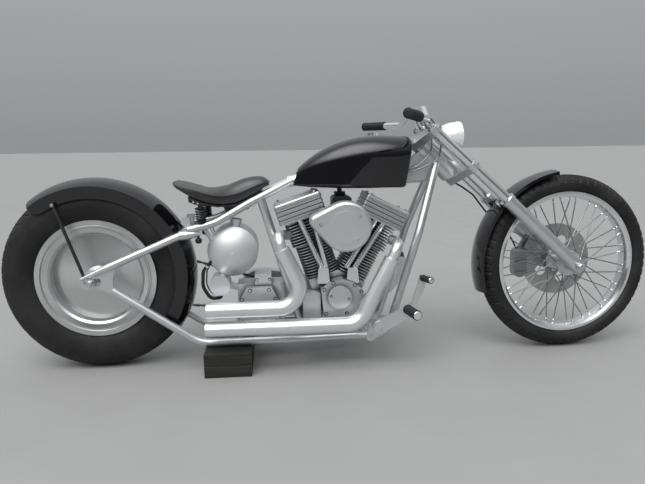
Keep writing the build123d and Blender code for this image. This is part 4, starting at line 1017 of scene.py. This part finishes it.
def ribbed_grip(start, end, radius, ribs, depth):
    """An outline along a grip with rounded ribs between two collars."""
    length = (end - start).length * 1000
    bore, valley, collar = radius * 0.86, radius - depth, radius + 0.4
    outline = [(bore, 0), (collar, 1.2), (collar, 5), (valley, 6)]
    pitch = (length - 14) / ribs
    for rib in range(ribs):
        base = 7 + rib * pitch
        outline += [
            (valley, base), (radius, base + pitch * 0.2),
            (radius, base + pitch * 0.62), (valley, base + pitch * 0.82),
        ]
    outline += [(valley, length - 6), (collar, length - 5), (collar, length - 1), (bore, length)]
    return outline


# From the handlebar past the neck and in under the tank, as (x, y, z)
CONTROL_CABLES = [
    [
        (1186, -176, 888), (1208, -130, 882), (1232, -74, 868), (1248, -44, 832),
        (1244, -40, 789), (1207, -40, 746), (1166, -38, 726), (1150, -34, 722),
    ],
    [
        (1206, -70, 935), (1246, -66, 900), (1278, -50, 850), (1284, -44, 812), (1274, -44, 768),
        (1239, -44, 744), (1204, -42, 728), (1168, -40, 717), (1150, -36, 714),
    ],
]
CABLE_R = 3.2


def curved(points, steps):
    """Points on a smooth line through the given ones."""
    made = []
    last = len(points) - 1
    for index in range(last):
        before, first = points[max(index - 1, 0)], points[index]
        second, after = points[index + 1], points[min(index + 2, last)]
        for step in range(steps):
            t = step / steps
            bend = (2 * before - 5 * first + 4 * second - after) * t ** 2
            twist = (3 * first - before - 3 * second + after) * t ** 3
            made.append((2 * first + (second - before) * t + bend + twist) / 2)
    made.append(points[last])
    return made


def control_cables():
    """Each cable runs from the handlebar down to the frame, and rides on no body."""
    for number, points in enumerate(CONTROL_CABLES):
        piece = Piece()
        piece.tube(curved([at(*point) for point in points], 8), CABLE_R, 10)
        made = piece.finish(f"control_cable_{number + 1}", "rubber", None, angle=60, material="dark_steel")
        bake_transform(made)


# The handlebar's left end, and the bend that the grip points to
BAR_END = (1071, 350, 906)
BAR_ELBOW = (1190, 167, 900)
GRIP_LENGTH = 122


def grips():
    """Ribbed rubber with a closed rubber end."""
    rubber = Piece()
    for side in (-1, 1):
        end = on_side(BAR_END, side)
        inward = (on_side(BAR_ELBOW, side) - end).normalized()
        stop = end + inward * (GRIP_LENGTH / 1000)
        rubber.turned(ribbed_grip(end, stop, 17.3, 13, 1.5), end, inward, 32)
        rubber.turned([(15.2, -0.5), (15.2, 1.0), (13.3, 2.0), (4, 2.2)], end, -inward, 28)
    made = rubber.finish("ribbed_grips", "rubber", "steering", True)
    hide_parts("grips")


# The foot pegs on the left: inner end, outer end, radius and number of ribs
PEGS = [
    ((1133, 182.6, 226), (1146, 276, 231), 18, 11),
    ((1192, 168.6, 338), (1202, 238, 346), 12.5, 9),
]


def pegs():
    """Ribbed rubber with a polished end."""
    rubber = Piece()
    ends = Piece()
    for side in (-1, 1):
        for start, end, radius, ribs in PEGS:
            first = on_side(start, side)
            last = on_side(end, side)
            out = (last - first).normalized()
            rubber.turned(ribbed_grip(first, last, radius - 0.4, ribs, 1.3), first, out, 30)
            ends.turned([(radius - 3, -0.5), (radius - 3, 2.4), (radius - 4.6, 3.6), (4, 3.8)], last, out, 28)
    made = rubber.finish("ribbed_pegs", "rubber", "frame")
    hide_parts("foot_pegs")
    ends.finish("peg_ends", "polished", "frame")


STAND_X = (391.2, 560.8)
STAND_LAYERS = ((0, 43.6), (44.8, 88.6))
STAND_HALVES = ((-197.8, -0.6), (0.6, 197.8))
TIMBER_EDGE = 1.6


def stand_blocks():
    """The stand is four painted timbers, two in each of two layers, with thin seams between."""
    piece = Piece()
    edge = TIMBER_EDGE
    for low, high in STAND_LAYERS:
        for start, end in STAND_HALVES:
            rings = []
            for z, inset in ((low, edge), (low + edge, 0), (high - edge, 0), (high, edge)):
                x0, x1 = STAND_X[0] + inset, STAND_X[1] - inset
                y0, y1 = start + inset, end - inset
                rings.append([at(x0, y0, z), at(x1, y0, z), at(x1, y1, z), at(x0, y1, z)])
            piece.bridge(rings)
    made = piece.finish("stand_timbers", "block_black", "frame", angle=20)
    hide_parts("stand_block")


# Each oil line: y, its radius, and the middle and heading of its clamps as (x, z, heading)
OIL_CLAMPS = [
    (-62, 6.5, [(450, 275, UP), (403, 382.5, (38, 0, 42))]),
    (-46, 2.5, [(450, 275, UP), (413, 380.5, (38, 0, 42))]),
]


def hose_clamps():
    """Thin bands round the oil lines."""
    piece = Piece()
    for y, radius, clamps in OIL_CLAMPS:
        for x, z, heading in clamps:
            section = [(radius + 0.1, -4), (radius + 1.4, -4), (radius + 1.4, 4), (radius + 0.1, 4)]
            piece.hoop(section, at(x, y, z), heading, 24)
    piece.finish("hose_clamps", "steel", "frame")


# Set

def set_camera():
    data = bpy.data.cameras.new("camera")
    data.sensor_width = SENSOR
    data.lens = FOCAL_PIXELS * SENSOR / PHOTO_WIDTH
    data.clip_start = 0.05
    data.clip_end = 60
    camera = add_object("camera", data)
    turn = Matrix.Rotation(radians(CAMERA_YAW), 4, "Z")
    tip = Matrix.Rotation(radians(90 + CAMERA_PITCH), 4, "X")
    roll = Matrix.Rotation(radians(CAMERA_ROLL), 4, "Z")
    camera.matrix_world = Matrix.Translation(CAMERA_AT) @ turn @ tip @ roll
    bpy.context.scene.camera = camera


FLOOR_HALF = 45


def add_floor():
    data = bpy.data.meshes.new("floor")
    s = FLOOR_HALF
    data.from_pydata([(-s, -s, 0), (s, -s, 0), (s, s, 0), (-s, s, 0)], [], [(0, 1, 2, 3)])
    floor = add_object("floor", data)
    look = Look("floor")
    look.colour(look.mix(look.noise(3, 6), (0.27, 0.27, 0.265), (0.31, 0.31, 0.305)))
    look.rough(look.noise(8, 5), 0.6, 0.75)
    look.bump(look.noise(120, 6), 0.1, 0.001)
    data.materials.append(look.material)


KEY_AT = (-0.8, -3.4, 5.0)
KEY_SIZE = (6, 4)
KEY_POWER = 60
KEY_AIM = (0, 0, 0.4)


def add_key_light():
    data = bpy.data.lights.new("key", "AREA")
    data.shape = "RECTANGLE"
    data.size, data.size_y = KEY_SIZE
    data.energy = KEY_POWER
    light = add_object("key", data)
    light.location = KEY_AT
    light.rotation_euler = (Vector(KEY_AIM) - Vector(KEY_AT)).to_track_quat("-Z", "Y").to_euler()


# The dome's light by height, from the horizon up, as (height, level)
CAMERA_SIDE = [(0, 0.11), (0.2, 0.13), (0.42, 0.32), (0.75, 1.0), (1, 1.2)]
FAR_SIDE = [(0, 0.34), (0.12, 0.4), (0.4, 0.52), (0.75, 1.0), (1, 1.2)]
DOME_STRENGTH = 0.85

# A soft glow in it: the way to it, the cosines from which it starts and is full, and its level
GLOW_TOWARD = (-0.3, -0.5, 0.8)
GLOW_FROM, GLOW_FULL = 0.76, 0.99
GLOW_LEVEL = 4.0


def add_world():
    """A plain dome, dark at the horizon on the camera's side so that gloss reads, and bright above."""
    world = bpy.data.worlds.new("world")
    world.use_nodes = True
    tree = world.node_tree
    background = tree.nodes["Background"]
    place = tree.nodes.new("ShaderNodeTexCoord").outputs["Generated"]
    split = tree.nodes.new("ShaderNodeSeparateXYZ")
    tree.links.new(place, split.inputs["Vector"])
    colours = []
    for side in (CAMERA_SIDE, FAR_SIDE):
        ramp = tree.nodes.new("ShaderNodeValToRGB")
        tree.links.new(split.outputs["Z"], ramp.inputs["Fac"])
        stops = ramp.color_ramp.elements
        for height, _ in side[1:-1]:
            stops.new(height)
        for stop, (height, level) in zip(stops, side):
            stop.position = height
            stop.color = (level * 0.98, level, level * 1.03, 1)
        colours.append(ramp.outputs["Color"])
    across = tree.nodes.new("ShaderNodeMapRange")
    across.interpolation_type = "SMOOTHSTEP"
    across.inputs["From Min"].default_value = -0.25
    across.inputs["From Max"].default_value = 0.35
    tree.links.new(split.outputs["Y"], across.inputs["Value"])
    both = tree.nodes.new("ShaderNodeMix")
    both.data_type = "RGBA"
    tree.links.new(across.outputs["Result"], both.inputs["Factor"])
    tree.links.new(colours[0], both.inputs[MIX_A])
    tree.links.new(colours[1], both.inputs[MIX_B])
    facing = tree.nodes.new("ShaderNodeVectorMath")
    facing.operation = "DOT_PRODUCT"
    facing.inputs[1].default_value = Vector(GLOW_TOWARD).normalized()
    tree.links.new(place, facing.inputs[0])
    glow = tree.nodes.new("ShaderNodeMapRange")
    glow.interpolation_type = "SMOOTHSTEP"
    glow.inputs["From Min"].default_value = GLOW_FROM
    glow.inputs["From Max"].default_value = GLOW_FULL
    glow.inputs["To Max"].default_value = GLOW_LEVEL
    tree.links.new(facing.outputs["Value"], glow.inputs["Value"])
    total = tree.nodes.new("ShaderNodeVectorMath")
    total.operation = "ADD"
    tree.links.new(both.outputs[MIX_RESULT], total.inputs[0])
    tree.links.new(glow.outputs["Result"], total.inputs[1])
    tree.links.new(total.outputs["Vector"], background.inputs["Color"])
    background.inputs["Strength"].default_value = DOME_STRENGTH
    bpy.context.scene.world = world
    bpy.context.scene.view_settings.view_transform = "Standard"


finish_nodes()
tyre(
    "rear_tyre_treaded", "rear_tyre", "rear_wheel", REAR_AXLE, half=72, inset=54.6,
    tyre_r=REAR_TYRE_R - MESH_GAP, rim_r=REAR_RIM_R, side_up=45, drop=24, tuck=10, deep=4.5, skirt=0,
    tread=rear_tread, steered=False,
)
tyre(
    "front_tyre_treaded", "front_tyre", "front_wheel", FRONT_AXLE, half=44, inset=26.6,
    tyre_r=FRONT_TYRE_R, rim_r=FRONT_RIM_R, side_up=28, drop=15, tuck=9, deep=3.5, skirt=11,
    tread=front_tread, steered=True,
)
saddle()
seat_springs()
rail_rubbers()
spoke_nipples()
wheel_details()
engine_fasteners()
head_details()
rocker_ribs()
frame_fasteners()
fork_fasteners()
lamp_details()
control_cables()
grips()
pegs()
stand_blocks()
hose_clamps()
set_camera()
add_floor()
add_key_light()
add_world()
